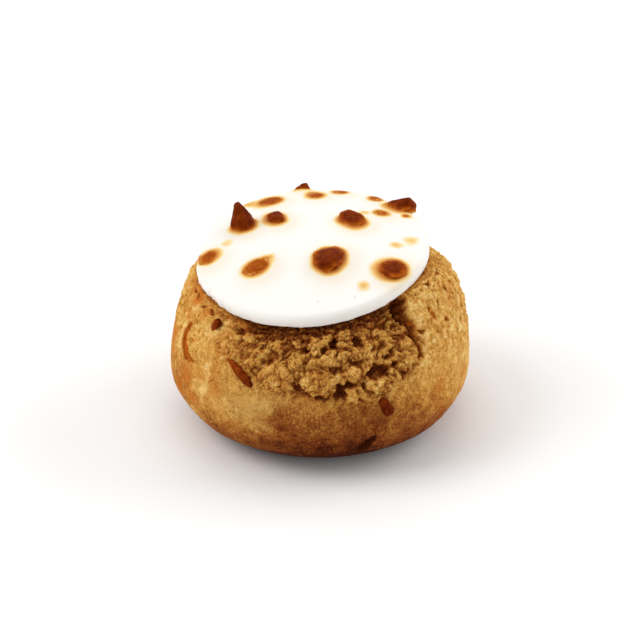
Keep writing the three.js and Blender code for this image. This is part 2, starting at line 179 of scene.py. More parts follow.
# The old fold on the left, in the same terms
FOLD = (
    (-158.0, 20.2, 0.55, 0.35),
    (-159.0, 18.8, 0.80, 0.50),
    (-157.8, 17.0, 0.90, 0.55),
    (-153.0, 15.7, 0.75, 0.45),
    (-147.5, 15.9, 0.40, 0.15),
)
# How grooves fray, and where they fade, in shares of their half widths
CLEFT_FRAY, FOLD_FRAY = 0.45, 0.2
GROOVE_BEND_SIZE, GROOVE_FRAY_SIZE = 2.2, 1.5
GROOVE_FADE = (0.3, 1.3)
# Orange marks and pale streaks on the crust and the belly, as ovals too, with their strength as last value
AMBER_MARKS = (
    (-164.0, 21.4, 2.2, 0.8, -25.0, 0.6),
    (-162.5, 23.7, 2.0, 0.8, -17.0, 0.75),
    (-152.4, 22.7, 1.2, 0.9, 0.0, 0.5),
    (-151.0, 13.0, 2.4, 2.2, 0.0, 0.60),
    (-148.0, 9.5, 3.2, 1.6, 0.0, 0.50),
    (-133.5, 13.4, 1.3, 1.1, 20.0, 0.45),
    (-40.0, 12.8, 1.6, 1.2, 0.0, 0.4),
    (-24.4, 14.9, 0.8, 0.7, 0.0, 0.6),
    (-19.0, 11.5, 2.2, 2.4, 0.0, 0.3),
    (-33.3, 23.6, 0.8, 0.7, 0.0, 0.6),
    (-25.5, 22.3, 0.7, 0.9, -40.0, 0.6),
    (-17.6, 24.4, 0.8, 2.0, 0.0, 0.4),
)
PALE_STREAKS = (
    (-139.0, 13.6, 0.9, 5.6, 0.0, 0.16),
    (-161.0, 18.0, 1.0, 2.6, 0.0, 0.08),
    (-146.0, 19.5, 1.6, 1.8, 0.0, 0.06),
    (-22.0, 20.5, 5.0, 3.6, 0.0, 0.07),
)
# How ovals are bent, and where they fade, in shares of their half sizes
OVAL_BEND = (1.5, 0.5)
HOLE_FADE, LUMP_FADE, AMBER_FADE, STREAK_FADE = (0.5, 1.3), (0.5, 1.2), (0.2, 1.3), (0.3, 1.3)
# The rise of large lumps that counts as the plain surface, how far they calm the big flakes on them, and the
# rises over which they do so and close the pockets
LUMP_PLAIN, LUMP_CALM = 0.3, 0.4
CALM_RISE, POCKET_RISE = (0.1, 0.4), (0.1, 0.3)

# Tones, from 0, dark brown, to 1, straw. The crust's own, with its blotches, and what holes, pits and the
# icing's rim take from it as painted shade, for whole and for broken crust
TONE_RANGE = (-0.4, 1.0)
CRUMB_TONE, CRUMB_DARKEST = (0.73, 0.56), 0.12
CRUMB_BLOTCH, CRUMB_BLOTCH_SIZE = 0.08, 3.0
HOLE_PAINTED_SHADE, PIT_PAINTED_SHADE, RIM_PAINTED_SHADE = (0.4, 0.24), (0.38, 0.1), (0.26, 0.42)
RIM_SHADE_REACH, RIM_SHADE_DROP = 1.1, 1.7
# Painted shade in the crumb's hollows and a little painted light on its rises: the width of each in cells of
# the mesh, strength, and least and most depth
HOLLOW_SHADE_AND_RISE_LIGHT = ((4, 0.5, -0.2, 0.3), (14, 0.25, -0.25, 0.5))
# The bare choux's own, and what its right side, foot, front, pale patch and blotches add to it; the darker
# foot and front are partly browning and partly painted shade. Places are an azimuth and a spread; heights are
# a start and an end, or a middle and a spread for a patch.
BARE_TONE, BARE_HOLE_PAINTED_SHADE, FOLD_DARKENING = 0.66, 0.9, 1.2
RIGHT_TONE, RIGHT_TOWARDS = 0.06, (0.0, 60.0)
FOOT_BROWNING_AND_SHADE, FOOT_HEIGHT = -0.40, (-1.0, 10.0)
FOOT_EDGE_BROWNING_AND_SHADE, FOOT_EDGE_HEIGHT = 0.5, (0.5, 4.5)
FRONT_BROWNING_AND_SHADE, FRONT_TOWARDS, FRONT_HEIGHT = -0.42, (-75.0, 42.0), (10.0, 18.0)
PALE_TONE, PALE_TOWARDS, PALE_HEIGHT = 0.10, (-112.0, 22.0), (13.0, 3.8)
BARE_BLOTCHES = ((0.15, 6.0, 65), (0.09, 1.6, 68))
# Straw: a soft patch, where the choux is light enough
STRAW_STRENGTH, STRAW_TOWARDS, STRAW_HEIGHT, STRAW_TONES = 0.6, (-115.0, 16.0), (12.8, 3.2), (0.35, 0.65)
# Amber: blotches at some sides, each with strength, azimuth and spread, and its share in pits and the fold
AMBER_SIDES = ((0.7, -160.0, 30.0), (0.455, -15.0, 25.0), (0.35, 95.0, 65.0))
AMBER_BLOTCH_SIZE, AMBER_BLOTCH_LEVELS = 4.0, (0.0, 0.8)
AMBER_HEIGHT, AMBER_HEIGHT_FADE = (5.0, 22.0), (4.0, 6.0)
AMBER_IN_PITS, AMBER_IN_FOLD, AMBER_MOST = 0.9, 1.7, 0.9
# How grainy the bare choux and the crust are
BARE_GRAININESS, CRUST_GRAININESS = 0.8, (0.7, 0.85)

# The icing disc, as in its solid. Its edge is fuller below than above, and each of its waves has a number of
# lobes and a phase.
DISC_DIAMETER = 38.6
DISC_THICKNESS = 2.0
DISC_CROWN = 2.2
DISC_BEND = 0.55
DISC_BEND_TOWARDS = math.radians(-28.0)
DISC_EDGE_ROUND, DISC_EDGE_FULLNESS = 0.85, {"above": 2.3, "below": 6.0}
DISC_CENTRE = np.array([-1.05, 1.4, 28.4])
DISC_TILT_FORWARD = math.radians(8.2)
DISC_TILT_LEFT = math.radians(4.8)
DISC_WAVE, DISC_WAVES = 0.12, ((2, 0.7), (5, 0.0))
ICING_WAVE, ICING_WAVE_SIZE = 0.07, 7.0
# The gap between the crust and the icing, and the slope and rounding of the ceiling that holds the crust down
# outside the rim: for the plain dough, and for its crumb
RIM_GAP = 0.1
RIM_SLOPE, RIM_BLEND = -0.25, 1.5
CRUMB_RISE, CRUMB_BLEND = 0.6, 0.1
# Where the rim flares out and where it is torn: azimuth in the disc's frame, spread and size. Then the width
# of the rim's band, and the tear's grain and slant.
RIM_FLARE, RIM_TEAR = (-168.0, 12.0, 0.45), (-158.0, 28.0, 0.4)
RIM_BAND, TEAR_SIZE, TEAR_SLANT = 2.0, 1.3, 0.12
# The rough lower edge, and the shares of the half thickness over which the top begins
ROUGH_EDGE, ROUGH_EDGE_SIZE, ROUGH_EDGE_TOP = 0.1, 1.4, 0.3
TOP_START = (0.2, 0.6)

# Stains in the icing: the width over which each nut's halo fades, and its shift, in the disc's frame
PLAIN_HALO = (0.75, 0.0, -0.3)
HALOS = {
    "nut_small": (0.8, -0.4, -0.1),
    "nut_middle": (0.75, 0.1, -0.35),
    "nut_right_back": (0.8, 0.1, -0.4),
    "nut_rim_right": (0.75, -0.5, -0.4),
    "nut_right_front": (0.8, -0.8, 0.1),
    "nut_flush_back_left": (0.9, -0.7, -0.3),
    "nut_flush_left": (0.75, 0.6, 0.2),
    "nut_flush_front": (0.75, -0.35, -0.45),
    "nut_flush_back": (0.9, 0.0, 0.0),
    "nut_bump_back": (0.65, 0.0, -0.2),
    "nut_bump_right": (0.65, 0.0, -0.2),
    "nut_chip": (0.7, 0.5, -0.2),
}
# Pale spots: place on the disc, half width, half depth and strength
PALE_SPOTS = (
    (-14.5, 1.7, 1.6, 1.3, 0.32),
    (8.3, -13.0, 1.5, 1.5, 0.48),
    (13.9, -2.4, 1.5, 1.2, 0.45),
    (16.5, -0.9, 1.9, 1.9, 0.42),
    (9.0, 8.0, 1.2, 0.9, 0.42),
    (-10.8, 14.0, 2.6, 1.8, 0.55),
    (15.8, 7.6, 1.3, 1.5, 0.90),
    (-7.8, -4.7, 2.0, 1.7, 0.75),
    # This faint beige spot beside the right front nut is painted shade
    (12.9, -12.8, 2.8, 2.0, 0.13),
    (-18.9, -0.9, 1.3, 1.6, 0.80),
)
# How spots fade and fray, then a nut's wide faint skirt of painted shadow, shifted to one side, its halo and
# its golden edge
SPOT_FADE, SPOT_FRAY = (0.2, 1.15), 2.0
SHADOW_SKIRT_REACH, SHADOW_SKIRT_STRENGTH, SHADOW_SKIRT_SHIFT = 2.6, 0.1, (0.7, -0.9)
HALO_STRENGTH, HALO_INSET, HALO_MERGING = 0.54, 0.14, 5.0
HALO_FRAY, HALO_FRAY_SIZE = 0.12, 1.6
EDGE_STRENGTH, EDGE_WIDTH = 0.24, 0.45
# Tiny dents in the icing's top: place on the disc
DENTS = (
    (5.0, 12.6), (6.9, 11.1), (8.6, 10.1), (-0.9, 6.9),
    (2.1, 8.1), (13.5, -0.5), (0.8, -16.1), (6.8, -15.6),
)
DENT_SIZE, DENT_DEPTH = 0.4, 0.35
# How high and how far from a standing nut the icing creeps up it
CREEP_RISE, CREEP_REACH = 0.15, 0.5
# The icing's swell in front of the nut at the rim's back: place on the disc, half width, half depth and rise
RIM_SWELL = (-2.0, 17.5, 1.9, 1.2, 0.5)

# Nuts: how sharp their edges are and how they are chipped, which have sunk in flush and how far, and how deep
# inside their outline their core starts, which is darker than their golden edge
NUT_SHARPNESS = 26
FLUSH_NUTS = ("nut_flush", "nut_bump", "nut_chip")
FLUSH_SINK, FLUSH_STAIN, FLUSH_CHIPPING = 0.85, 0.95, 0.1
NUT_CHIP, NUT_CHIP_SIZE = 0.12, 1.5
FINE_CHIP, FINE_CHIP_SIZE = 0.06, 0.5
NUT_CORE, NUT_DARKENING, NUT_FADE = 1.5, 0.78, 0.6
FLUSH_CORE, FLUSH_DARKENING, BUMP_DARKENING, FLUSH_FADE = 0.6, 0.48, 0.34, 0.7
# How fast height darkens a nut, on its sides and on its top; the faster darkening of its sides is painted
# shade
HEIGHT_DARKENING_AND_FLANK_SHADE = (2.0, 0.4)
# Directions in a nut's outline, and over how many of them it is rounded
OUTLINE_SIDES, NUT_ROUNDING, FLUSH_ROUNDING = 90, 3, 6

# Slivers of nut baked into the crust: azimuth, height, length, width, slope in degrees and taper
SLIVERS = (
    (-123.0, 17.4, 6.4, 1.4, -28.0, 0.2),
    (-65.5, 13.1, 3.3, 1.8, -65.0, 0.04),
    (-143.0, 22.6, 2.4, 1.3, 60.0, 0.3),
    (28.0, 18.0, 4.6, 1.6, 30.0, -0.3),
    (96.0, 15.5, 5.2, 1.5, -25.0, 0.35),
    (138.0, 19.0, 3.0, 1.7, 50.0, 0.2),
)
# How thick and square they are, how far they stand out and tip their thick end up, how uneven they are, how
# thin their caramel is at the dark end, and the most that it gains from there to their middle
SLIVER_THICKNESS, SLIVER_SQUARENESS = 1.2, 3
SLIVER_LIFT, SLIVER_TIP = 0.14, 0.1
SLIVER_UNEVEN, SLIVER_UNEVEN_SIZE, SLIVER_NOISE_STEP = 0.09, 0.7, 7.0
SLIVER_DARK_END, SLIVER_TOAST = 0.08, 0.2
# Rounds of substitution that find the angle at which the dough has a height
ANGLE_ROUNDS = 20

# Loose crumbs: how many there are, how often each is tried, the angles they lie at, their gap from the
# icing's rim, and the least cover and most depth of a place that holds one
CRUMB_COUNT, CRUMB_TRIES, CRUMB_SEED = 150, 20, 11
CRUMB_ANGLES, CRUMB_RIM_GAP = (4.0, 50.0), 0.8
CRUMB_COVER, CRUMB_HOLE = 0.75, 0.3
# Their radii, with the shape of the draw, their stretch, how uneven they are, their lift and their tones
CRUMB_RADIUS, CRUMB_RADIUS_DRAW = (0.22, 0.62), (1.3, 4.0)
CRUMB_STRETCH = (0.7, 1.3)
CRUMB_UNEVEN, CRUMB_UNEVEN_SIZE, CRUMB_NOISE_SCALE, CRUMB_NOISE_SPAN = 0.42, 0.9, 1.1, 90.0
CRUMB_LIFT = 0.1
CRUMB_TONES = (0.40, 0.66)

# Grain of the meshes: bands of rows by angle above the belly, columns round, and their crowding at the front
BUN_BANDS = ((-90.0, -36.0, 5), (-36.0, 4.0, 28), (4.0, 50.0, 100), (50.0, 90.0, 5))
BUN_COLUMNS = 710
FRONT_CROWDING = 0.35
DISC_COLUMNS = 420
DISC_ROWS = (90, 14, 10)
NUT_GRID = (44, 72)
SLIVER_GRID = (14, 24)
CRUMB_GRID = (5, 8)

# The photograph's camera, fitted to the outline
CAMERA_ELEVATION = math.radians(28.0)
CAMERA_DISTANCE = 330.0
CAMERA_TARGET = Vector((0.0, 0.0, 16.5))
CAMERA_LENS = 109.1
SENSOR_WIDTH = 36.0

# The set: the floor's rings, each with how far it has faded to the white of the surroundings, the greys that
# its blots run between, by level of noise, and soft square lights, with place and width in metres and watts
FLOOR_RINGS = ((90.0, 0.0), (220.0, 0.7), (300.0, 1.0))
FLOOR_SIDES = 96
FLOOR_GREYS, FLOOR_BLOT_SIZE = ((0.3, 0.96), (0.7, 0.975)), 60.0
FLOOR_GLOW = 0.35
WORLD_STRENGTH, SEEN_BACKGROUND = 0.53, 1.0
LIGHTS = {
    "key": ((-0.40, -0.04, 0.42), 0.35, 1.4),
    "side": ((0.42, 0.14, 0.25), 0.35, 1.0),
    "top": ((-0.05, 0.28, 0.52), 0.5, 0.75),
    "front": ((0.12, -0.45, 0.20), 0.4, 0.1),
}


# Numbers and noise: a channel is a whole number that picks one pattern out of many unrelated ones

CORNERS = np.stack(np.meshgrid(*[[0.0, 1.0]] * 3, indexing="ij"), -1).reshape(-1, 3)
NEIGHBOURS = np.stack(np.meshgrid(*[[-1.0, 0.0, 1.0]] * 3, indexing="ij"), -1).reshape(-1, 3)
# A repeatable scatter's sine: its step along each axis and from channel to channel, and its height
SINE_STEPS, SINE_CHANNEL_STEP, SINE_HEIGHT = np.array([127.1, 311.7, 74.7]), 53.3, 43758.5453


def smoothstep(x, low, high):
    """0 below low, 1 above high, and a cubic ease between them."""
    t = np.clip((x - low) / (high - low), 0, 1)
    return t * t * (3 - 2 * t)


def within(x, low, high, fade_low, fade_high):
    """Smoothly 1 inside an interval and 0 outside it, with its own fade at each end."""
    return smoothstep(x, low, low + fade_low) * (1 - smoothstep(x, high, high + fade_high))


def blend(a, b, share):
    """The value a share of the way from a to b."""
    return a + (b - a) * share


def scatter(cell, channel):
    """A repeatable number from 0 to 1 for each whole-number triple: the fraction of a large sine."""
    wave = np.sin(cell @ SINE_STEPS + channel * SINE_CHANNEL_STEP) * SINE_HEIGHT
    return wave - np.floor(wave)


def seeds(place, channel):
    """The cube and the random seed point of each of the 27 cubes round a place in a unit lattice."""
    home = np.floor(place)
    for step in NEIGHBOURS:
        cell = home + step
        yield cell, cell + np.stack([scatter(cell, channel + n) for n in (1, 2, 3)], -1)


def noise(point, size, channel):
    """Smooth noise from -1 to 1: random values at the corners of cubes of that size, eased between them."""
    place = point / size
    home = np.floor(place)
    t = place - home
    t = t * t * (3 - 2 * t)
    total = np.zeros(point.shape[:-1])
    for corner in CORNERS:
        weight = np.prod(np.where(corner > 0, t, 1 - t), axis=-1)
        total += weight * scatter(home + corner, channel)
    return 2 * total - 1


def fractal(point, size, channel, octaves=3):
    """Noise summed over octaves, each half the size and half the height of the one before."""
    return sum(noise(point, size / 2**n, channel + n) / 2**n for n in range(octaves))


def drift(point, size, amount, channel):
    """The point moved by a noise vector, which bends and frays what is drawn on it."""
    moves = [fractal(point, size, channel + 10 * n, 2) for n in range(3)]
    return point + amount * np.stack(moves, -1)


def clumps(point, size, channel):
    """Height of rounded clumps: the highest of the spheres seeded in each cube of a jittered lattice."""
    place = point / size
    highest = np.zeros(point.shape[:-1])
    for cell, seed in seeds(place, channel):
        reach = blend(*GRAIN_REACH, scatter(cell, channel + 4))
        away = ((seed - place) ** 2).sum(-1) / reach**2
        highest = np.maximum(highest, reach * np.sqrt(np.maximum(0, 1 - away)))
    return highest


def flakes(point, size, channel):
    """Height of broken flakes, the cells round a jittered lattice's seeds.

    Each has its own level and tilt, and its edges are bevelled.
    """
    place = point / size
    nearest = np.full(point.shape[:-1], np.inf)
    second = nearest.copy()
    level = np.zeros(point.shape[:-1])
    for cell, seed in seeds(place, channel):
        away = np.sqrt(((seed - place) ** 2).sum(-1))
        nearer = away < nearest
        second = np.where(nearer, nearest, np.minimum(second, away))
        tilt = np.stack([scatter(cell, channel + n) for n in (5, 6, 7)], -1) - 0.5
        slant = FLAKE_TILT * (tilt * (place - seed)).sum(-1)
        level = np.where(nearer, blend(*FLAKE_LEVELS, scatter(cell, channel + 4)) + slant, level)
        nearest = np.where(nearer, away, nearest)
    return level * smoothstep(second - nearest, 0, FLAKE_BEVEL)


def pits(point, size, share, channel):
    """Depth from 0 to 1 of small round pits: one in that share of a lattice's cubes, of varied width."""
    place = point / size
    deepest = np.zeros(point.shape[:-1])
    for cell, seed in seeds(place, channel):
        reach = blend(*PIT_REACH, scatter(cell, channel + 4))
        away = ((seed - place) ** 2).sum(-1) / reach**2
        there = scatter(cell, channel + 5) < share
        deepest = np.maximum(deepest, there * np.maximum(0, 1 - away) ** PIT_ROUNDNESS)
    return deepest


def blur(grid, columns, rows):
    """A grid averaged over Gaussian windows of those widths in cells; it wraps round in its columns."""
    def window(width):
        steps = np.arange(-3 * width, 3 * width + 1)
        weights = np.exp(-0.5 * (steps / width) ** 2)
        return steps, weights / weights.sum()
    smooth = sum(w * np.roll(grid, s, axis=1) for s, w in zip(*window(columns)))
    line = np.arange(grid.shape[0])
    return sum(w * smooth[np.clip(line + s, 0, len(line) - 1)] for s, w in zip(*window(rows)))


# The bun's form

def around(values, azimuth):
    """Four values at +X, +Y, -X and -Y joined round the bun by a short Fourier sum."""
    right, back, left, front = (values[k] for k in ("right", "back", "left", "front"))
    return (
        (right + back + left + front) / 4
        + (right - left) / 2 * np.cos(azimuth)
        + (back - front) / 2 * np.sin(azimuth)
        + (right + left - back - front) / 4 * np.cos(2 * azimuth)
    )


def turned(azimuth, degrees):
    """Azimuth from a mark, in radians between -pi and pi."""
    return (azimuth - math.radians(degrees) + math.pi) % (2 * math.pi) - math.pi


def hump(azimuth, towards, spread):
    """A smooth hump: 1 at an azimuth and falling off over a spread, both in degrees."""
    return np.exp(-((turned(azimuth, towards) / math.radians(spread)) ** 2))


def superellipse(wide, tall, fullness, angle):
    """Polar radius of a superellipse: ((cos/wide)^n + (sin/tall)^n)^(-1/n)."""
    across = np.abs(np.cos(angle)) / wide
    upward = np.abs(np.sin(angle)) / tall
    return (across**fullness + upward**fullness) ** (-1 / fullness)


def rounded_min(a, b, blend_width):
    """The smaller of two lengths, with the corner where they meet rounded off over the width."""
    h = np.clip(0.5 + 0.5 * (b - a) / blend_width, 0, 1)
    return b + (a - b) * h - blend_width * h * (1 - h)


def dough_radius(angle, azimuth):
    """Distance from the belly's centre to the plain dough: a full shoulder above, a belly cut flat below."""
    wide = BUN_DIAMETER / 2
    upper = superellipse(wide, CROWN_RISE, around(SHOULDER_FULLNESS, azimuth), angle)
    for height, towards, spread, start, end in SHOULDER_WAVES:
        upper = upper + height * smoothstep(np.degrees(angle), start, end) * hump(azimuth, towards, spread)
    below = np.minimum(angle, -TINY)
    lower = superellipse(wide, BELLY_DROP, LOWER_FULLNESS, below)
    lower = rounded_min(lower, BELLY_HEIGHT / -np.sin(below), BASE_EDGE_ROUND)
    return np.where(angle >= 0, upper, lower)


def direction(angle, azimuth):
    """The unit vector at an angle above level and an azimuth."""
    level = np.cos(angle)
    return np.stack([level * np.cos(azimuth), level * np.sin(azimuth), np.sin(angle)], -1)


def disc_axes():
    """Rows are the disc's own right, back and up, after its tilts forwards and to the left."""
    cx, sx = math.cos(DISC_TILT_FORWARD), math.sin(DISC_TILT_FORWARD)
    cy, sy = math.cos(-DISC_TILT_LEFT), math.sin(-DISC_TILT_LEFT)
    forward = np.array([[1, 0, 0], [0, cx, -sx], [0, sx, cx]])
    left = np.array([[cy, 0, sy], [0, 1, 0], [-sy, 0, cy]])
    return (forward @ left).T


DISC_AXES = disc_axes()


def into_disc(point):
    """Points of the part's frame in the disc's own."""
    return (point - DISC_CENTRE) @ DISC_AXES.T


def out_of_disc(local):
    """Points of the disc's frame in the part's own."""
    return local @ DISC_AXES + DISC_CENTRE


def dome(x, y):
    """Height of the icing's middle surface over the disc's own plane: a shallow dome and a slow saddle."""
    share = (x * x + y * y) / (DISC_DIAMETER / 2) ** 2
    bend = DISC_BEND * np.cos(2 * (np.arctan2(y, x) - DISC_BEND_TOWARDS))
    return DISC_CROWN * (1 - share) + bend * share


def under_icing(point, slope, blend_width):
    """Lowers points to a ceiling that lies just under the icing and goes on at a slope outside its rim."""
    local = into_disc(point)
    radius = np.hypot(local[..., 0], local[..., 1])
    rim = DISC_DIAMETER / 2 + DISC_WAVE + RIM_GAP
    inward = np.minimum(1, rim / np.maximum(radius, TINY))
    ceiling = dome(local[..., 0] * inward, local[..., 1] * inward) - DISC_THICKNESS / 2 - RIM_GAP
    ceiling = ceiling + slope * np.maximum(0, radius - rim)
    local[..., 2] = rounded_min(local[..., 2], ceiling, blend_width)
    return out_of_disc(local)


def broken_side(point, azimuth):
    """1 at the azimuths of the broken patch and 0 elsewhere; its borders wander and its corner is cut."""
    turn = np.degrees(turned(azimuth, 0)) + PATCH_WANDER * fractal(point, PATCH_WANDER_SIZE, 85)
    low = 1 - smoothstep(point[..., 2], *CORNER_HEIGHT)
    turn = turn + CORNER_CUT * low * smoothstep(turn, *CORNER_TURN)
    return within(turn, *PATCH_TURN, *PATCH_TURN_FADE)


def crust_cover(point, azimuth, broken):
    """1 on the craquelin and 0 on the bare choux: a frayed edge at the broken front, else a long fade."""
    edge = CRUST_EDGE_HEIGHT - CRUST_EDGE_DIP * hump(azimuth, *CRUST_DIP_TOWARDS)
    sharp = broken * smoothstep(np.degrees(turned(azimuth, 0)), *SHARP_EDGE_TURN)
    half = blend(*CRUST_EDGE_BLEND, sharp)
    fray = CRUST_EDGE_FRAY * fractal(point, CRUST_FRAY_SIZE, 60)
    return smoothstep((point[..., 2] + fray - edge) / half, -1, 1)


def ovals(marks, point, fade):
    """The largest of a list of ragged ovals, turned by their slopes, which fade between two shares."""
    bent = drift(point, *OVAL_BEND, 70)
    azimuth = np.arctan2(bent[..., 1], bent[..., 0])
    level = np.hypot(point[..., 0], point[..., 1])
    largest = np.zeros(point.shape[:-1])
    for mark, height, half_wide, half_tall, slope, size in marks:
        across = turned(azimuth, mark) * level
        upward = bent[..., 2] - height
        c, s = math.cos(math.radians(slope)), math.sin(math.radians(slope))
        away = np.hypot((c * across + s * upward) / half_wide, (c * upward - s * across) / half_tall)
        largest = np.maximum(largest, size * (1 - smoothstep(away, *fade)))
    return largest


def groove_depth(marks, point, fraying):
    """Depth of a wandering groove along a line of marks whose width and depth change from mark to mark."""
    bent = drift(point, GROOVE_BEND_SIZE, fraying, 83)
    azimuth = np.arctan2(bent[..., 1], bent[..., 0])
    level = np.hypot(point[..., 0], point[..., 1])
    frayed = fraying * fractal(point, GROOVE_FRAY_SIZE, 80)
    depth = np.zeros(point.shape[:-1])
    for start, end in zip(marks, marks[1:]):
        across = turned(azimuth, start[0]) * level
        upward = bent[..., 2] - start[1]
        run, rise = math.radians(end[0] - start[0]) * level, end[1] - start[1]
        share = np.clip((across * run + upward * rise) / (run**2 + rise**2), 0, 1)
        away = np.hypot(across - share * run, upward - share * rise)
        wide = blend(start[2], end[2], share)
        deep = blend(start[3], end[3], share)
        depth = np.maximum(depth, deep * (1 - smoothstep(away / wide + frayed, *GROOVE_FADE)))
    return depth


def crumb_relief(point, azimuth, crumbly, broken):
    """Height of the craquelin's crumb over its plain surface.

    Flakes of two sizes, grains and dust lie on each other, with pockets between them, and small pits are sunk
    in them. The flakes grow with crumbliness. The depth of the pits, from 0 to 1, comes back too.
    """
    bent = drift(drift(point, *COARSE_BEND, 90), *FINE_BEND, 97)
    big = BIG_FLAKE_HEIGHT * (flakes(bent, BIG_FLAKE_SIZE, 10) - FLAKE_PLAIN)
    small = SMALL_FLAKE_HEIGHT * (flakes(bent, SMALL_FLAKE_SIZE, 20) - FLAKE_PLAIN)
    dust = DUST_HEIGHT * fractal(point, DUST_SIZE, 55, 2)
    grain = GRAIN_HEIGHT * (clumps(point, GRAIN_SIZE, 30) - GRAIN_PLAIN) + dust
    lump = ovals(LUMPS, point, LUMP_FADE)
    pocket = POCKET_DEPTH * pits(bent, POCKET_SPACING, POCKET_SHARE, 40)
    pocket = pocket * (1 - smoothstep(lump, *POCKET_RISE))
    pitted = around(PITTEDNESS, azimuth)
    pit = pitted * pits(drift(point, *PIT_BEND, 95), PIT_SPACING, PIT_SHARE, 50)
    calm = 1 - LUMP_CALM * smoothstep(lump, *CALM_RISE)
    whole = crumbly * (calm * big + small) + blend(WHOLE_GRAIN, 1, crumbly) * (grain - PIT_DEPTH * pit)
    return whole + broken * (lump - LUMP_PLAIN) - blend(WHOLE_POCKETS * pitted, 1, broken) * pocket, pit


def baked_surface(angle, azimuth):
    """Points of the baked bun, and masks over them.

    The plain dough, lowered under the icing, is lifted along its own direction by the crust's step and crumb
    and by a slow wave, and sunk by the broken patch, the holes, the cleft, the cracks and the fold.
    """
    outward = direction(angle, azimuth)
    point = BELLY_CENTRE + dough_radius(angle, azimuth)[..., None] * outward
    height = point[..., 2]
    waves = 2 * math.pi * point / np.array(DOUGH_WAVE_LENGTHS)
    wave = DOUGH_WAVE * np.sin(waves[..., 0] + DOUGH_WAVE_PHASE) * np.cos(waves[..., 1] + waves[..., 2])
    broken = broken_side(point, azimuth)
    cover = crust_cover(point, azimuth, broken)
    crumbly = blend(around(CRUMBLINESS, azimuth), 1, broken)
    dip = broken * hump(azimuth, *CRUST_DIP_TOWARDS)
    step = blend(*CRUST_STEP, broken) + CRUST_STEP_AT_DIP * dip
    hollow = HOLLOW_DEPTH * hump(azimuth, *HOLLOW_TOWARDS) * smoothstep(height, *HOLLOW_HEIGHT)
    recess = PATCH_DEPTH * within(height, *PATCH_HEIGHT, *PATCH_HEIGHT_FADE) + hollow
    crumb, pit = crumb_relief(point, azimuth, crumbly, broken)
    crust = step + crumb - broken * recess
    dough = smoothstep(height, *LEVEL_FOOT) * (wave + DOUGH_GRAIN * fractal(point, DOUGH_GRAIN_SIZE, 45))
    fold = groove_depth(FOLD, point, FOLD_FRAY)
    grooves = [groove_depth(marks, point, CLEFT_FRAY) for marks in (CLEFT, *CRACKS)]
    sunk = np.max([ovals(HOLES, point, HOLE_FADE), fold, *grooves], axis=0)
    lift = dough + cover * crust - sunk
    raised = under_icing(point, RIM_SLOPE, RIM_BLEND) + lift[..., None] * outward
    capped = np.where((angle > 0)[..., None], under_icing(raised, CRUMB_RISE, CRUMB_BLEND), raised)
    masks = {"lift": lift, "cover": cover, "broken": broken, "sunk": sunk, "fold": fold, "pit": cover * pit}
    return capped, masks


# The bun's looks

def soft_patch(point, azimuth, towards, height):
    """A soft patch: a hump towards an azimuth times one at a height, each with its own spread."""
    middle, spread = height
    return hump(azimuth, *towards) * np.exp(-(((point[..., 2] - middle) / spread) ** 2))


def bare_tone(point, azimuth):
    """How light the bare choux is: the foot is darkest, then the front, both partly browning and partly
    painted shade, and a front-left patch is palest.
    """
    height = point[..., 2]
    foot = 1 - smoothstep(height, *FOOT_HEIGHT) + FOOT_EDGE_BROWNING_AND_SHADE * (1 - smoothstep(height, *FOOT_EDGE_HEIGHT))
    front = hump(azimuth, *FRONT_TOWARDS) * (1 - smoothstep(height, *FRONT_HEIGHT))
    pale = soft_patch(point, azimuth, PALE_TOWARDS, PALE_HEIGHT)
    right = hump(azimuth, *RIGHT_TOWARDS)
    blotch = sum(strength * fractal(point, size, channel) for strength, size, channel in BARE_BLOTCHES)
    return BARE_TONE + RIGHT_TONE * right + FOOT_BROWNING_AND_SHADE * foot + FRONT_BROWNING_AND_SHADE * front + PALE_TONE * pale + blotch


def rim_shade(point):
    """1 on the crust close below the icing's rim, where painted shade darkens it, and 0 away from it."""
    local = into_disc(point)
    outside = np.maximum(0, np.hypot(local[..., 0], local[..., 1]) - DISC_DIAMETER / 2)
    below = np.maximum(0, dome(local[..., 0], local[..., 1]) - DISC_THICKNESS / 2 - local[..., 2])
    return np.exp(-((outside / RIM_SHADE_REACH) ** 2) - (below / RIM_SHADE_DROP) ** 2)


def crumb_tone(point, masks, sunk):
    """How light the craquelin is: painted shade darkens it in hollows, holes and pits and close below the
    icing's rim, and painted light lifts its rises a little.
    """
    lift, broken = masks["lift"], masks["broken"]
    tone = blend(*CRUMB_TONE, broken)
    # Painted shade in the hollows, and a little painted light on the rises
    for width, strength, least, most in HOLLOW_SHADE_AND_RISE_LIGHT:
        tone = tone - strength * np.clip(blur(lift, width, width) - lift, least, most)
    tone = tone - blend(*HOLE_PAINTED_SHADE, broken) * sunk - blend(*PIT_PAINTED_SHADE, broken) * masks["pit"]
    # Painted shade below the icing's rim
    tone = tone - blend(*RIM_PAINTED_SHADE, broken) * rim_shade(point)
    return np.maximum(tone + CRUMB_BLOTCH * fractal(point, CRUMB_BLOTCH_SIZE, 66), CRUMB_DARKEST)


def amber_blotches(point, azimuth, masks):
    """Where the crust has caramelised to orange: blotches at some sides, marks, the fold and the pits."""
    side = sum(strength * hump(azimuth, towards, spread) for strength, towards, spread in AMBER_SIDES)
    blotch = smoothstep(fractal(point, AMBER_BLOTCH_SIZE, 75), *AMBER_BLOTCH_LEVELS)
    blotch = blotch * within(point[..., 2], *AMBER_HEIGHT, *AMBER_HEIGHT_FADE)
    marks = np.maximum(blotch * side, ovals(AMBER_MARKS, point, AMBER_FADE))
    pit = AMBER_IN_PITS * masks["pit"] * (1 - masks["broken"])
    return np.clip(np.maximum(marks, pit) + AMBER_IN_FOLD * masks["fold"], 0, AMBER_MOST)


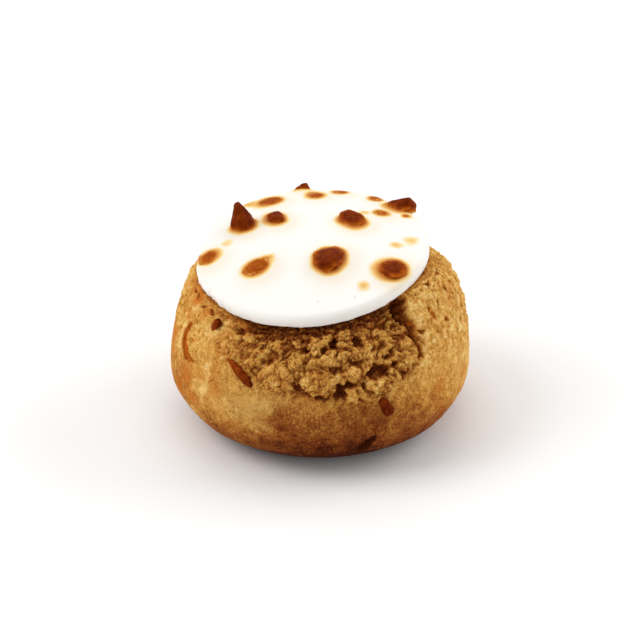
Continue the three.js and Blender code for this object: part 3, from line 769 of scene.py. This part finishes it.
def bun_looks(point, azimuth, masks):
    """Tone, amber, straw and grain over the bun: the choux's and the craquelin's, joined by its cover."""
    cover = masks["cover"]
    sunk = np.minimum(masks["sunk"], 1)
    # Holes in the bare choux are darkened with painted shade
    bare = bare_tone(point, azimuth) - BARE_HOLE_PAINTED_SHADE * sunk
    tone = blend(bare, crumb_tone(point, masks, sunk), cover)
    tone = tone + ovals(PALE_STREAKS, point, STREAK_FADE) - FOLD_DARKENING * masks["fold"]
    straw = STRAW_STRENGTH * soft_patch(point, azimuth, STRAW_TOWARDS, STRAW_HEIGHT)
    return {
        "tone": np.clip(tone, *TONE_RANGE),
        "amber": amber_blotches(point, azimuth, masks),
        "straw": (1 - cover) * straw * smoothstep(tone, *STRAW_TONES),
        "grain": blend(BARE_GRAININESS, blend(*CRUST_GRAININESS, masks["broken"]), cover),
    }


# Meshes

def grid_faces(rows, columns):
    """Corner indices of a surface of rings between two poles: triangles at the poles, quads between rings."""
    side = np.arange(columns)
    after = (side + 1) % columns
    ring = 1 + columns * np.arange(rows)[:, None]
    low = np.stack([np.zeros_like(side), 1 + after, 1 + side], -1)
    last = 1 + columns * rows
    high = np.stack([np.full_like(side, last), ring[-1] + side, ring[-1] + after], -1)
    here, above = ring[:-1], ring[1:]
    quads = np.stack([here + side, here + after, above + after, above + side], -1).reshape(-1, 4)
    return np.concatenate([low, high]), quads


def with_poles(low, rings, high):
    """Points of a surface of rings between two poles, in the order that grid_faces counts them."""
    return np.concatenate([np.reshape(part, (-1, rings.shape[-1])) for part in (low, rings, high)])


def make_piece(name, points, triangles, quads, material, attributes):
    """A smooth-shaded mesh at the origin from arrays of points, in millimetres, and faces."""
    mesh = bpy.data.meshes.new(name)
    mesh.vertices.add(len(points))
    mesh.vertices.foreach_set("co", (np.asarray(points) * MM).astype(np.float32).ravel())
    corners = np.concatenate([triangles.ravel(), quads.ravel()]).astype(np.int32)
    sizes = np.concatenate([np.full(len(triangles), 3), np.full(len(quads), 4)])
    mesh.loops.add(len(corners))
    mesh.loops.foreach_set("vertex_index", corners)
    mesh.polygons.add(len(sizes))
    mesh.polygons.foreach_set("loop_start", (np.cumsum(sizes) - sizes).astype(np.int32))
    mesh.polygons.foreach_set("use_smooth", np.ones(len(sizes), bool))
    for key, values in attributes.items():
        layer = mesh.attributes.new(key, "FLOAT", "POINT")
        layer.data.foreach_set("value", np.asarray(values, np.float32).ravel())
    mesh.update(calc_edges=True)
    mesh.validate()
    mesh.materials.append(material)
    piece = bpy.data.objects.new(name, mesh)
    bpy.context.scene.collection.objects.link(piece)
    return piece


def make_bun(material):
    """The whole bun as rings from the base's middle to the crown, with its looks as attributes."""
    angles = np.concatenate([np.linspace(a, b, n, endpoint=False) for a, b, n in BUN_BANDS])[1:]
    turns = np.linspace(-math.pi, math.pi, BUN_COLUMNS, endpoint=False)
    azimuths = turns - FRONT_CROWDING * np.sin(turns + math.pi / 2)
    angle, azimuth = np.meshgrid(np.radians(angles), azimuths, indexing="ij")
    rings, masks = baked_surface(angle, azimuth)
    crown = baked_surface(np.full((1, 1), math.pi / 2), np.zeros((1, 1)))[0]
    attributes = {
        key: with_poles(values[0, 0], values[..., None], values[-1, 0])
        for key, values in bun_looks(rings, azimuth, masks).items()
    }
    points = with_poles((0, 0, 0), rings, crown)
    return make_piece("bun", points, *grid_faces(*angle.shape), material, attributes)


def ball(rows, columns):
    """Unit directions of a globe of rings between its poles."""
    polar = np.linspace(-math.pi / 2, math.pi / 2, rows + 2)[1:-1]
    turns = np.linspace(0, 2 * math.pi, columns, endpoint=False)
    rings = direction(*np.meshgrid(polar, turns, indexing="ij"))
    return with_poles((0, 0, -1), rings, (0, 0, 1))


def join_copies(points, triangles, quads):
    """Points and faces of many copies of one mesh, whose points come as copies by points by 3."""
    first = (np.arange(len(points)) * points.shape[1])[:, None, None]
    return points.reshape(-1, 3), (triangles + first).reshape(-1, 3), (quads + first).reshape(-1, 4)


def make_crumbs(material):
    """Loose craquelin crumbs, half sunk in the crust: small globes with uneven radii, turned and stretched.

    They lie in the broken patch, clear of the icing's rim.
    """
    draw = np.random.default_rng(CRUMB_SEED)
    azimuth = draw.uniform(-math.pi, math.pi, CRUMB_TRIES * CRUMB_COUNT)
    angle = np.radians(draw.uniform(*CRUMB_ANGLES, CRUMB_TRIES * CRUMB_COUNT))
    spot, masks = baked_surface(angle, azimuth)
    local = into_disc(spot)
    outside = np.hypot(local[:, 0], local[:, 1]) > DISC_DIAMETER / 2 + CRUMB_RIM_GAP
    likely = draw.uniform(0, 1, len(angle)) < masks["broken"] * np.cos(angle)
    firm = (masks["cover"] > CRUMB_COVER) & (masks["sunk"] < CRUMB_HOLE)
    keep = np.nonzero(outside & likely & firm)[0][:CRUMB_COUNT]
    radius = blend(*CRUMB_RADIUS, draw.beta(*CRUMB_RADIUS_DRAW, len(keep)))[:, None]
    stretch = draw.uniform(*CRUMB_STRETCH, (len(keep), 1, 3))
    globe = ball(*CRUMB_GRID)
    noise_place = globe * CRUMB_NOISE_SCALE + draw.uniform(0, CRUMB_NOISE_SPAN, (len(keep), 1, 3))
    uneven = 1 + CRUMB_UNEVEN * noise(noise_place, CRUMB_UNEVEN_SIZE, 5)
    axes = np.linalg.qr(draw.normal(size=(len(keep), 3, 3)))[0]
    lumps = (globe * uneven[..., None] * stretch * radius[:, None]) @ axes
    outward = direction(angle[keep], azimuth[keep])
    lumps = lumps + (spot[keep] + CRUMB_LIFT * radius * outward)[:, None]
    tone = np.repeat(draw.uniform(*CRUMB_TONES, len(keep)), len(globe))
    return make_piece("crumbs", *join_copies(lumps, *grid_faces(*CRUMB_GRID)), material, {"tone": tone})


def angle_at(height, azimuth):
    """The angle above the belly at which the plain dough has a height, found by repeated substitution."""
    angle = 0.0
    for _ in range(ANGLE_ROUNDS):
        reach = dough_radius(np.array(angle), np.array(azimuth))
        angle = math.asin(np.clip((height - BELLY_HEIGHT) / reach, -1, 1))
    return angle


def make_slivers(material):
    """Nut slivers half sunk in the crust: flat globes with square-cut ends, laid along a slope in it.

    A sliver is amber at its thin end and dark at its thick one, which stands out a little.
    """
    globe = ball(*SLIVER_GRID)
    square = globe / (np.abs(globe) ** SLIVER_SQUARENESS).sum(-1, keepdims=True) ** (1 / SLIVER_SQUARENESS)
    shapes, toasted = [], []
    for n, (mark, height, length, width, slope, taper) in enumerate(SLIVERS):
        azimuth, lean = math.radians(mark), math.radians(slope)
        angle = angle_at(height, azimuth)
        spot = baked_surface(np.array([angle]), np.array([azimuth]))[0][0]
        outward = direction(angle, azimuth)
        level = np.array([-math.sin(azimuth), math.cos(azimuth), 0])
        along = math.cos(lean) * level + math.sin(lean) * np.cross(outward, level)
        tipped = along + math.copysign(SLIVER_TIP, taper) * outward
        axes = np.stack([tipped, np.cross(outward, along), outward])
        half = np.array([length, width, SLIVER_THICKNESS]) / 2
        uneven = 1 + SLIVER_UNEVEN * fractal(globe + n * SLIVER_NOISE_STEP, SLIVER_UNEVEN_SIZE, 230)
        narrow = 1 + taper * square[:, :1] * np.array([0, 1, 1])
        shapes.append(spot + SLIVER_LIFT * outward + (square * half * narrow * uneven[:, None]) @ axes)
        toast = min(1.0, SLIVER_TOAST / abs(taper))
        toasted.append(SLIVER_DARK_END + toast * (abs(taper) - taper * square[:, 0]))
    faces = join_copies(np.array(shapes), *grid_faces(*SLIVER_GRID))
    return make_piece("slivers", *faces, material, {"thin": np.array(toasted)})


def solid_planes(name):
    """A nut's solid, in millimetres: its middle, and its faces' outward normals and distances from there.

    Its half sizes in the disc's frame come last.
    """
    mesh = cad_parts[name].data
    points = np.array([v.co for v in mesh.vertices]) / MM
    normals = np.array([p.normal for p in mesh.polygons])
    centres = np.array([p.center for p in mesh.polygons]) / MM
    middle = (points.min(0) + points.max(0)) / 2
    distances = ((centres - middle) * normals).sum(-1)
    return middle, normals, distances, np.ptp(into_disc(points), axis=0) / 2


def nut_outline(name):
    """A nut's middle on the disc, and its outline where it leaves the icing.

    The outline is radii by direction: the directions, the true radii and rounded ones.
    """
    middle, normals, distances, _ = solid_planes(name)
    right, back, _ = into_disc(middle)
    foot = out_of_disc(np.array([right, back, dome(right, back) + DISC_THICKNESS / 2]))
    turn = np.linspace(-math.pi, math.pi, OUTLINE_SIDES, endpoint=False)
    ways = np.stack([np.cos(turn), np.sin(turn), np.zeros_like(turn)], -1) @ DISC_AXES
    room = distances - normals @ (foot - middle)
    radii = (room / np.maximum(ways @ normals.T, TINY)).min(-1)
    rounding = FLUSH_ROUNDING if name.startswith(FLUSH_NUTS) else NUT_ROUNDING
    return (right, back), turn, radii, blur(radii[None], rounding, 1)[0]


def by_direction(across, deep, turn, values):
    """Values that are given by direction, in the directions of places on the disc."""
    return np.interp(np.arctan2(deep, across), turn, values, period=2 * math.pi)


def beyond_outline(local, outline, shift=(0.0, 0.0)):
    """How far points of the disc lie outside a nut's outline, which may be shifted; negative inside it."""
    (right, back), turn, _, rounded = outline
    across = local[..., 0] - right - shift[0]
    deep = local[..., 1] - back - shift[1]
    return np.hypot(across, deep) - by_direction(across, deep, turn, rounded)


def icing_wave(local):
    """Slow unevenness of the icing over its dome."""
    return ICING_WAVE * fractal(local * np.array([1, 1, 0]), ICING_WAVE_SIZE, 310)


def melted(local, outline, above):
    """Points of a nut that has sunk into the icing: its outline is rounded and its top is lowered."""
    foot, turn, radii, rounded = outline
    from_foot = local[:, :2] - foot
    widen = by_direction(from_foot[:, 0], from_foot[:, 1], turn, rounded / radii)[:, None]
    sunk = np.concatenate([foot + from_foot * widen, local[:, 2:]], -1)
    sunk[:, 2] += icing_wave(sunk) - FLUSH_SINK * above
    return sunk


def make_nut(name, material, seed):
    """A chopped nut that keeps its solid's form: the soft minimum of the distances to its faces, chipped.

    It is golden at the icing and dark at its core, and a standing nut's sides darken faster than its top, a
    painted shade. A flush nut is half melted: lower, rounder and lighter.
    """
    flush = name.startswith(FLUSH_NUTS)
    middle, normals, distances, half = solid_planes(name)
    ways = ball(*NUT_GRID) * half
    ways = ways / np.linalg.norm(ways, axis=-1, keepdims=True) @ DISC_AXES
    weight = (np.maximum(ways @ normals.T, TINY) / distances) ** NUT_SHARPNESS
    surface = middle + ways * weight.sum(-1, keepdims=True) ** (-1 / NUT_SHARPNESS)
    chips = NUT_CHIP * fractal(surface, NUT_CHIP_SIZE, 200 + seed)
    chips = chips + FINE_CHIP * fractal(surface, FINE_CHIP_SIZE, 220 + seed, 2)
    local = into_disc(surface + (FLUSH_CHIPPING if flush else 1.0) * ways * chips[:, None])
    above = np.maximum(0, local[:, 2] - dome(local[:, 0], local[:, 1]) - DISC_THICKNESS / 2)
    outline = nut_outline(name)
    if flush:
        local = melted(local, outline, above)
    inside = np.maximum(0, -beyond_outline(local, outline))
    if flush:
        darkening = FLUSH_DARKENING if name.startswith("nut_flush") else BUMP_DARKENING
        core = np.minimum(1, inside / FLUSH_CORE) ** FLUSH_FADE
        thin = 1 - blend(EDGE_STRENGTH, darkening, core)
    else:
        # Painted shade: the sides of a standing nut darken faster with height than its top
        facing = weight @ normals
        facing_up = np.clip(facing @ DISC_AXES[2] / np.linalg.norm(facing, axis=-1), 0, 1)
        depth = inside + blend(*HEIGHT_DARKENING_AND_FLANK_SHADE, facing_up) * above
        thin = 1 - NUT_DARKENING * np.minimum(1, depth / NUT_CORE) ** NUT_FADE
    piece = make_piece(name + "_piece", out_of_disc(local), *grid_faces(*NUT_GRID), material, {"thin": thin})
    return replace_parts(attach(piece, "root"), name)


def disc_section():
    """Radius and side of the icing's section, from the axis above, round the edge, to the axis below.

    The edge rounds over at the top and is nearly upright below: a superellipse, squarer in its lower half.
    """
    inner = DISC_DIAMETER / 2 - DISC_EDGE_ROUND
    over, edge, under = DISC_ROWS
    turn = np.linspace(math.pi / 2, -math.pi / 2, edge + 2)[1:-1]
    power = 2 / np.where(turn > 0, DISC_EDGE_FULLNESS["above"], DISC_EDGE_FULLNESS["below"])
    radius = np.concatenate([
        np.linspace(0, inner, over + 1)[1:],
        inner + DISC_EDGE_ROUND * np.cos(turn) ** power,
        np.linspace(inner, 0, under + 1)[:-1],
    ])
    side = np.sign(turn) * np.abs(np.sin(turn)) ** power
    return radius, np.concatenate([np.ones(over), side, -np.ones(under)])


def fading(away, reach):
    """1 up to no distance away, falling off beyond it over a reach."""
    return np.exp(-((np.maximum(away, 0) / reach) ** 2))


def nut_stain_and_shade(local):
    """How far the nuts have stained the icing's top, with painted shadow beside them, and how close the
    nearest standing one is.

    A golden halo fades from a nut's outline and from the same outline shifted, which run into each other by a
    soft minimum, inside a wide faint skirt of painted shadow. Pale spots are soft ovals, one of them painted
    shade.
    """
    ragged = HALO_FRAY * fractal(local, HALO_FRAY_SIZE, 300)
    stain_and_shade = np.zeros(local.shape[:-1])
    closest = np.full(local.shape[:-1], np.inf)
    for name in NUT_NAMES:
        outline = nut_outline(name)
        width, *shift = HALOS.get(name, PLAIN_HALO)
        true = beyond_outline(local, outline)
        shifted = beyond_outline(local, outline, shift)
        nearer = -np.logaddexp(-HALO_MERGING * true, -HALO_MERGING * shifted) / HALO_MERGING
        ring = HALO_STRENGTH * fading(nearer + HALO_INSET + ragged, width)
        ring = ring + EDGE_STRENGTH * fading(true, EDGE_WIDTH)
        # Painted shadow: a faint skirt shifted to one side of each nut
        shadow_skirt = SHADOW_SKIRT_STRENGTH * fading(beyond_outline(local, outline, SHADOW_SKIRT_SHIFT), SHADOW_SKIRT_REACH)
        stain_and_shade = np.maximum(stain_and_shade, np.maximum(shadow_skirt, ring))
        if name.startswith(FLUSH_NUTS):
            stain_and_shade = np.maximum(stain_and_shade, FLUSH_STAIN * np.clip(-true / FLUSH_CORE, 0, 1))
        else:
            closest = np.minimum(closest, true)
    for right, back, half_wide, half_deep, strength in PALE_SPOTS:
        away = np.hypot((local[..., 0] - right) / half_wide, (local[..., 1] - back) / half_deep)
        stain_and_shade = np.maximum(stain_and_shade, strength * (1 - smoothstep(away + SPOT_FRAY * ragged, *SPOT_FADE)))
    return stain_and_shade, closest


def icing_dents(local):
    """Depth of the tiny dents that the icing's top has here and there."""
    depth = np.zeros(local.shape[:-1])
    for right, back in DENTS:
        away = np.hypot(local[..., 0] - right, local[..., 1] - back) / DENT_SIZE
        depth = np.maximum(depth, DENT_DEPTH * (1 - smoothstep(away, 0, 1)))
    return depth


def rim_mark(angle, towards, spread, size):
    """A mark on the icing's rim: it falls off to both sides of an azimuth and ends at the far left."""
    return size * np.exp(-(((turned(angle, 0) - math.radians(towards)) / math.radians(spread)) ** 2))


def icing_reach(flat, angle, edge):
    """How far the icing reaches: a wavy circle, flared at the left and torn into small flaps beside that."""
    waves = sum(np.cos(lobes * angle + phase) for lobes, phase in DISC_WAVES)
    rim = np.stack([np.cos(angle), np.sin(angle), TEAR_SLANT * flat], -1)
    torn = rim_mark(angle, *RIM_TEAR) * fractal(rim * DISC_DIAMETER / 2, TEAR_SIZE, 330)
    return flat * (1 + DISC_WAVE * waves / DISC_DIAMETER) + edge * (rim_mark(angle, *RIM_FLARE) + torn)


def make_icing(material):
    """The icing as rings from the middle of its top, round the rim, to the middle below: a domed disc.

    Its top creeps up the nuts, swells at the back and has tiny dents, and its lower edge is rough.
    """
    radius, side = disc_section()
    turn = np.linspace(-math.pi, math.pi, DISC_COLUMNS, endpoint=False)
    flat, angle = np.meshgrid(radius, turn, indexing="ij")
    side = np.broadcast_to(side[:, None], flat.shape)
    edge = smoothstep(flat, DISC_DIAMETER / 2 - RIM_BAND, DISC_DIAMETER / 2)
    top = smoothstep(side, *TOP_START)
    reach = icing_reach(flat, angle, edge)
    local = np.stack([reach * np.cos(angle), reach * np.sin(angle), np.zeros_like(angle)], -1)
    local[..., 2] = dome(local[..., 0], local[..., 1]) + side * DISC_THICKNESS / 2 + icing_wave(local)
    stain_and_shade, closest = nut_stain_and_shade(local)
    local[..., 2] += top * (CREEP_RISE * fading(closest, CREEP_REACH) - icing_dents(local))
    local[..., 2] += ROUGH_EDGE * fractal(local, ROUGH_EDGE_SIZE, 320) * edge * (side < ROUGH_EDGE_TOP)
    right, back, half_wide, half_deep, rise = RIM_SWELL
    across, deep = (local[..., 0] - right) / half_wide, (local[..., 1] - back) / half_deep
    local[..., 2] += top * rise * np.exp(-(across**2) - deep**2)
    middles = np.array([(0, 0, DISC_CROWN + half) for half in (DISC_THICKNESS / 2, -DISC_THICKNESS / 2)])
    upper, lower = out_of_disc(middles)
    points = with_poles(upper, out_of_disc(local), lower)
    triangles, quads = grid_faces(*flat.shape)
    attributes = {"stain_and_shade": with_poles(0.0, (stain_and_shade * top)[..., None], 0.0)}
    return make_piece("icing", points, triangles[:, ::-1], quads[:, ::-1], material, attributes)


# Finishes

def srgb(red, green, blue):
    """A colour as seen, from 0 to 255, in the linear values that shaders take."""
    share = np.array([red, green, blue]) / 255
    linear = np.where(share <= 0.04045, share / 12.92, ((share + 0.055) / 1.055) ** 2.4)
    return (*linear, 1.0)


def grey(level):
    """A grey of a linear level."""
    return (level, level, level, 1.0)


BAKED_COLOURS = (
    (0.00, srgb(70, 25, 6)),
    (0.10, srgb(101, 43, 13)),
    (0.20, srgb(122, 60, 20)),
    (0.40, srgb(152, 88, 35)),
    (0.60, srgb(192, 131, 56)),
    (0.80, srgb(222, 170, 86)),
    (1.00, srgb(243, 208, 134)),
)
AMBER = srgb(198, 102, 22)
STRAW = srgb(204, 164, 92)
TOASTED_SPECK = srgb(128, 62, 16)
# The grey-beige stop at 0.10 is painted shadow beside the nuts; the higher ones are the nuts' cream, golden
# and amber stains
STAIN_AND_SHADE_COLOURS = (
    (0.00, srgb(252, 248, 241)),
    (0.10, srgb(244, 234, 218)),
    (0.22, srgb(248, 226, 178)),
    (0.38, srgb(242, 204, 130)),
    (0.60, srgb(226, 164, 74)),
    (0.80, srgb(192, 112, 36)),
    (1.00, srgb(150, 72, 14)),
)
NUT_COLOURS = (
    (0.05, srgb(82, 22, 2)),
    (0.35, srgb(130, 50, 6)),
    (0.70, srgb(182, 92, 20)),
    (1.00, srgb(230, 172, 86)),
)
# How far grain and mottle swing the tones, and the gain and offset of the grain inside amber and straw
FINE_SWING, COARSE_SWING, CARAMEL_SWING = 1.10, 0.55, 0.6
AMBER_MOTTLE, STRAW_MOTTLE = (2.2, -0.1), (2.4, -0.2)
# The finest grain's share of the height, noise levels over which specks and fibres show, and their strength
FINEST_SHARE = 0.5
SPECK_LEVELS, SPECK_STRENGTH = (0.60, 0.72), 0.4
FIBRE_LEVELS, FIBRE_STRENGTH = (0.58, 0.72), 0.22
FIBRE_TURN, FIBRE_STRETCH = (0.5, 0.6, 0.0), (1.0, 1.0, 0.15)
# Gain and offset of what drives the roughness, and the dull shine of baked dough
BAKED_ROUGHNESS, ICING_ROUGHNESS = (0.35, 0.5), (0.2, 0.42)
BAKED_SHINE = 0.04


def fill(tree, node, inputs):
    """Fills a node's inputs, by name or number, with values or links."""
    for key, value in inputs.items():
        if isinstance(value, bpy.types.NodeSocket):
            tree.links.new(value, node.inputs[key])
        else:
            node.inputs[key].default_value = value


def add(tree, kind, inputs=None, **settings):
    """Places a node, applies its settings and fills its inputs."""
    node = tree.nodes.new(kind)
    for key, value in settings.items():
        setattr(node, key, value)
    fill(tree, node, inputs or {})
    return node


def ramp(tree, factor, stops):
    """Colours along a factor, as (place, colour) stops."""
    node = add(tree, "ShaderNodeValToRGB", {"Fac": factor})
    elements = node.color_ramp.elements
    while len(elements) < len(stops):
        elements.new(0.5)
    for element, (place, colour) in zip(elements, stops):
        element.position = place
        element.color = colour
    return node.outputs["Color"]


def mask(tree, factor, low, high):
    """Black below one level of a factor and white above another."""
    return ramp(tree, factor, ((low, grey(0.0)), (high, grey(1.0))))


def mix(tree, factor, a, b):
    """Colour a, turning to colour b by a factor; the node's colour sockets go by number."""
    return add(tree, "ShaderNodeMix", {0: factor, 6: a, 7: b}, data_type="RGBA").outputs[2]


def calculate(tree, operation, a, b, c=0.0):
    """One step of arithmetic on values or links."""
    return add(tree, "ShaderNodeMath", {0: a, 1: b, 2: c}, operation=operation).outputs[0]


def swing(tree, noise_value, height):
    """Noise from 0 to 1, moved to swing about 0 by a height in all."""
    return calculate(tree, "MULTIPLY_ADD", noise_value, height, -height / 2)


def attribute(tree, name):
    """A piece's own attribute, as a value."""
    return add(tree, "ShaderNodeAttribute", attribute_name=name).outputs["Fac"]


def object_place(tree):
    """The place on a piece, in its own frame."""
    return add(tree, "ShaderNodeTexCoord").outputs["Object"]


def speck(tree, place, size_mm, detail=2.0):
    """Noise from 0 to 1 whose blots are about that size."""
    inputs = {"Vector": place, "Scale": 1 / (size_mm * MM), "Detail": detail}
    return add(tree, "ShaderNodeTexNoise", inputs).outputs["Fac"]


def bump(tree, height, distance_mm, strength=1.0):
    """A normal bent by a height of that many millimetres."""
    inputs = {"Height": height, "Distance": distance_mm * MM, "Strength": strength}
    return add(tree, "ShaderNodeBump", inputs).outputs["Normal"]


def new_group(name, values):
    """A node group that takes a place and named values, and puts out a colour and a height."""
    group = bpy.data.node_groups.new(name, "ShaderNodeTree")
    sockets = [("Place", "INPUT", "Vector"), *[(value, "INPUT", "Float") for value in values]]
    sockets += [("Color", "OUTPUT", "Color"), ("Height", "OUTPUT", "Float")]
    for label, side, kind in sockets:
        group.interface.new_socket(name=label, in_out=side, socket_type="NodeSocket" + kind)
    return group, add(group, "NodeGroupInput").outputs, add(group, "NodeGroupOutput")


def baked_group():
    """Colour and height of baked dough and craquelin.

    The tone, with two sizes of grain added to it, runs along the baked colours. Toasted specks darken it, and
    straw and amber tint it, mottled by the finer grain.
    """
    group, given, result = new_group("Baked", ("Tone", "Amber", "Straw", "Grain"))
    place = given["Place"]
    fine = speck(group, place, size_mm=0.35, detail=3.0)
    coarse = speck(group, place, size_mm=1.1, detail=3.0)
    grain = calculate(group, "MULTIPLY", swing(group, fine, FINE_SWING), given["Grain"])
    blots = swing(group, coarse, COARSE_SWING)
    tone = calculate(group, "ADD", calculate(group, "ADD", grain, blots), given["Tone"])
    colour = ramp(group, tone, BAKED_COLOURS)
    toasted = mask(group, speck(group, place, size_mm=0.7, detail=3.0), *SPECK_LEVELS)
    colour = mix(group, calculate(group, "MULTIPLY", toasted, SPECK_STRENGTH), colour, TOASTED_SPECK)
    for share, mottle, tint in ((given["Straw"], STRAW_MOTTLE, STRAW), (given["Amber"], AMBER_MOTTLE, AMBER)):
        mottled = calculate(group, "MULTIPLY_ADD", fine, *mottle)
        colour = mix(group, calculate(group, "MULTIPLY", share, mottled), colour, tint)
    height = calculate(group, "MULTIPLY_ADD", speck(group, place, size_mm=0.18), FINEST_SHARE, fine)
    fill(group, result, {"Color": colour, "Height": height})
    return group


def caramel_group():
    """Colour and height of caramelised nut.

    It is dark red-brown, amber where it thins, with pale fibres and fine ridges.
    """
    group, given, result = new_group("Caramel", ("Thin",))
    place = given["Place"]
    mottle = speck(group, place, size_mm=1.2, detail=4.0)
    tone = calculate(group, "ADD", swing(group, mottle, CARAMEL_SWING), given["Thin"])
    turning = {"Vector": place, "Rotation": FIBRE_TURN, "Scale": FIBRE_STRETCH}
    along = add(group, "ShaderNodeMapping", turning).outputs["Vector"]
    fibre = mask(group, speck(group, along, size_mm=0.5), *FIBRE_LEVELS)
    tone = calculate(group, "MULTIPLY_ADD", fibre, FIBRE_STRENGTH, tone)
    ridges = speck(group, place, size_mm=0.5, detail=3.0)
    fill(group, result, {"Color": ramp(group, tone, NUT_COLOURS), "Height": ridges})
    return group


def new_finish(name):
    """A material, its node tree and its shader."""
    material = bpy.data.materials.new(name)
    material.use_nodes = True
    tree = material.node_tree
    return material, tree, tree.nodes["Principled BSDF"]


def bun_finish(baked):
    """Choux and craquelin: the baked look, driven by the bun's own tones."""
    material, tree, shader = new_finish("baked_choux")
    grain = attribute(tree, "grain")
    look = add(tree, "ShaderNodeGroup", {
        "Place": object_place(tree),
        "Tone": attribute(tree, "tone"),
        "Amber": attribute(tree, "amber"),
        "Straw": attribute(tree, "straw"),
        "Grain": grain,
    }, node_tree=baked)
    height = calculate(tree, "MULTIPLY", look.outputs["Height"], grain)
    fill(tree, shader, {
        "Base Color": look.outputs["Color"],
        "Normal": bump(tree, height, distance_mm=0.22),
        "Roughness": calculate(tree, "MULTIPLY_ADD", grain, *BAKED_ROUGHNESS),
        "Specular IOR Level": BAKED_SHINE,
        "Subsurface Weight": 0.35,
        "Subsurface Radius": (1.0, 0.45, 0.2),
        "Subsurface Scale": 0.7 * MM,
    })
    return material


def crumb_finish(baked):
    """The crust's own finish, with each crumb toasted a little more or less."""
    material, tree, shader = new_finish("craquelin_crumb")
    inputs = {"Place": object_place(tree), "Tone": attribute(tree, "tone"), "Grain": 1.0}
    look = add(tree, "ShaderNodeGroup", inputs, node_tree=baked)
    fill(tree, shader, {
        "Base Color": look.outputs["Color"],
        "Normal": bump(tree, look.outputs["Height"], distance_mm=0.14),
        "Roughness": 0.85,
        "Specular IOR Level": BAKED_SHINE,
    })
    return material


def icing_finish():
    """Satin white icing, stained from cream to amber round the nuts, with painted shadow beside them."""
    material, tree, shader = new_finish("white_icing")
    place = object_place(tree)
    sheen = speck(tree, place, size_mm=3.0)
    fill(tree, shader, {
        "Base Color": ramp(tree, attribute(tree, "stain_and_shade"), STAIN_AND_SHADE_COLOURS),
        "Normal": bump(tree, speck(tree, place, size_mm=0.9, detail=3.0), distance_mm=0.03, strength=0.6),
        "Roughness": calculate(tree, "MULTIPLY_ADD", sheen, *ICING_ROUGHNESS),
        "Specular IOR Level": 0.25,
        "Subsurface Weight": 0.25,
        "Subsurface Radius": (1.0, 0.9, 0.75),
        "Subsurface Scale": 1.0 * MM,
    })
    return material


def nut_finish(caramel):
    """Caramelised nut, amber at the icing and dark on top."""
    material, tree, shader = new_finish("caramelised_nut")
    inputs = {"Place": object_place(tree), "Thin": attribute(tree, "thin")}
    look = add(tree, "ShaderNodeGroup", inputs, node_tree=caramel)
    fill(tree, shader, {
        "Base Color": look.outputs["Color"],
        "Normal": bump(tree, look.outputs["Height"], distance_mm=0.12),
        "Roughness": 0.4,
        "Specular IOR Level": 0.02,
    })
    return material


def floor_finish():
    """A pale floor that glows to white towards its rim."""
    material, tree, shader = new_finish("pale_floor")
    blots = speck(tree, object_place(tree), FLOOR_BLOT_SIZE)
    fill(tree, shader, {
        "Base Color": ramp(tree, blots, [(place, grey(level)) for place, level in FLOOR_GREYS]),
        "Roughness": 0.8,
        "Emission Color": ramp(tree, attribute(tree, "glow"), ((0.0, grey(0.0)), (1.0, grey(FLOOR_GLOW)))),
        "Emission Strength": 1.0,
    })
    return material


# The set

def make_floor():
    """A round floor of rings about its middle, each with its own share of glow."""
    radius, glow = np.array(FLOOR_RINGS).T
    turn = 2 * math.pi * np.arange(FLOOR_SIDES) / FLOOR_SIDES
    rings = radius[:, None, None] * np.stack([np.cos(turn), np.sin(turn), np.zeros_like(turn)], -1)
    points = np.concatenate([np.zeros((1, 3)), rings.reshape(-1, 3)])
    triangles, quads = grid_faces(len(radius), FLOOR_SIDES)
    fan = triangles[:FLOOR_SIDES, ::-1]
    glow = {"glow": np.concatenate([[0.0], np.repeat(glow, FLOOR_SIDES)])}
    make_piece("floor", points, fan, quads[:, ::-1], floor_finish(), glow)


def make_room():
    """Pale surroundings, which light the bun less brightly than the camera sees them."""
    world = bpy.data.worlds.new("pale_room")
    world.use_nodes = True
    tree = world.node_tree
    seen = add(tree, "ShaderNodeLightPath").outputs["Is Camera Ray"]
    strength = calculate(tree, "MULTIPLY_ADD", seen, SEEN_BACKGROUND - WORLD_STRENGTH, WORLD_STRENGTH)
    fill(tree, tree.nodes["Background"], {"Color": grey(1.0), "Strength": strength})
    bpy.context.scene.world = world
    bpy.context.scene.view_settings.view_transform = "Standard"


def make_light(name, place, size, power):
    """A square soft light at a place in metres, aimed at the bun."""
    data = bpy.data.lights.new(name, "AREA")
    data.size = size
    data.energy = power
    light = bpy.data.objects.new(name, data)
    light.location = place
    light.rotation_euler = (CAMERA_TARGET * MM - Vector(place)).to_track_quat("-Z", "Y").to_euler()
    bpy.context.scene.collection.objects.link(light)


def make_camera():
    """The photograph's camera, in front of the bun and above it."""
    data = bpy.data.cameras.new("camera")
    data.lens = CAMERA_LENS
    data.sensor_width = SENSOR_WIDTH
    camera = bpy.data.objects.new("camera", data)
    back = Vector((0, -math.cos(CAMERA_ELEVATION), math.sin(CAMERA_ELEVATION)))
    camera.location = (CAMERA_TARGET + CAMERA_DISTANCE * back) * MM
    camera.rotation_euler = (-back).to_track_quat("-Z", "Y").to_euler()
    bpy.context.scene.collection.objects.link(camera)
    bpy.context.scene.camera = camera


# The whole scene

make_floor()
make_room()
for light_name, light in LIGHTS.items():
    make_light(light_name, *light)
make_camera()

baked_look = baked_group()
nut_look = nut_finish(caramel_group())
bun = make_bun(bun_finish(baked_look))
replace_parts(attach(bun, "root"), "choux_bun")
crumbs = make_crumbs(crumb_finish(baked_look))
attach(crumbs, "root")
slivers = make_slivers(nut_look)
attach(slivers, "root")
icing = make_icing(icing_finish())
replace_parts(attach(icing, "root"), "icing_disc")
for seed, nut_name in enumerate(NUT_NAMES):
    make_nut(nut_name, nut_look, seed)
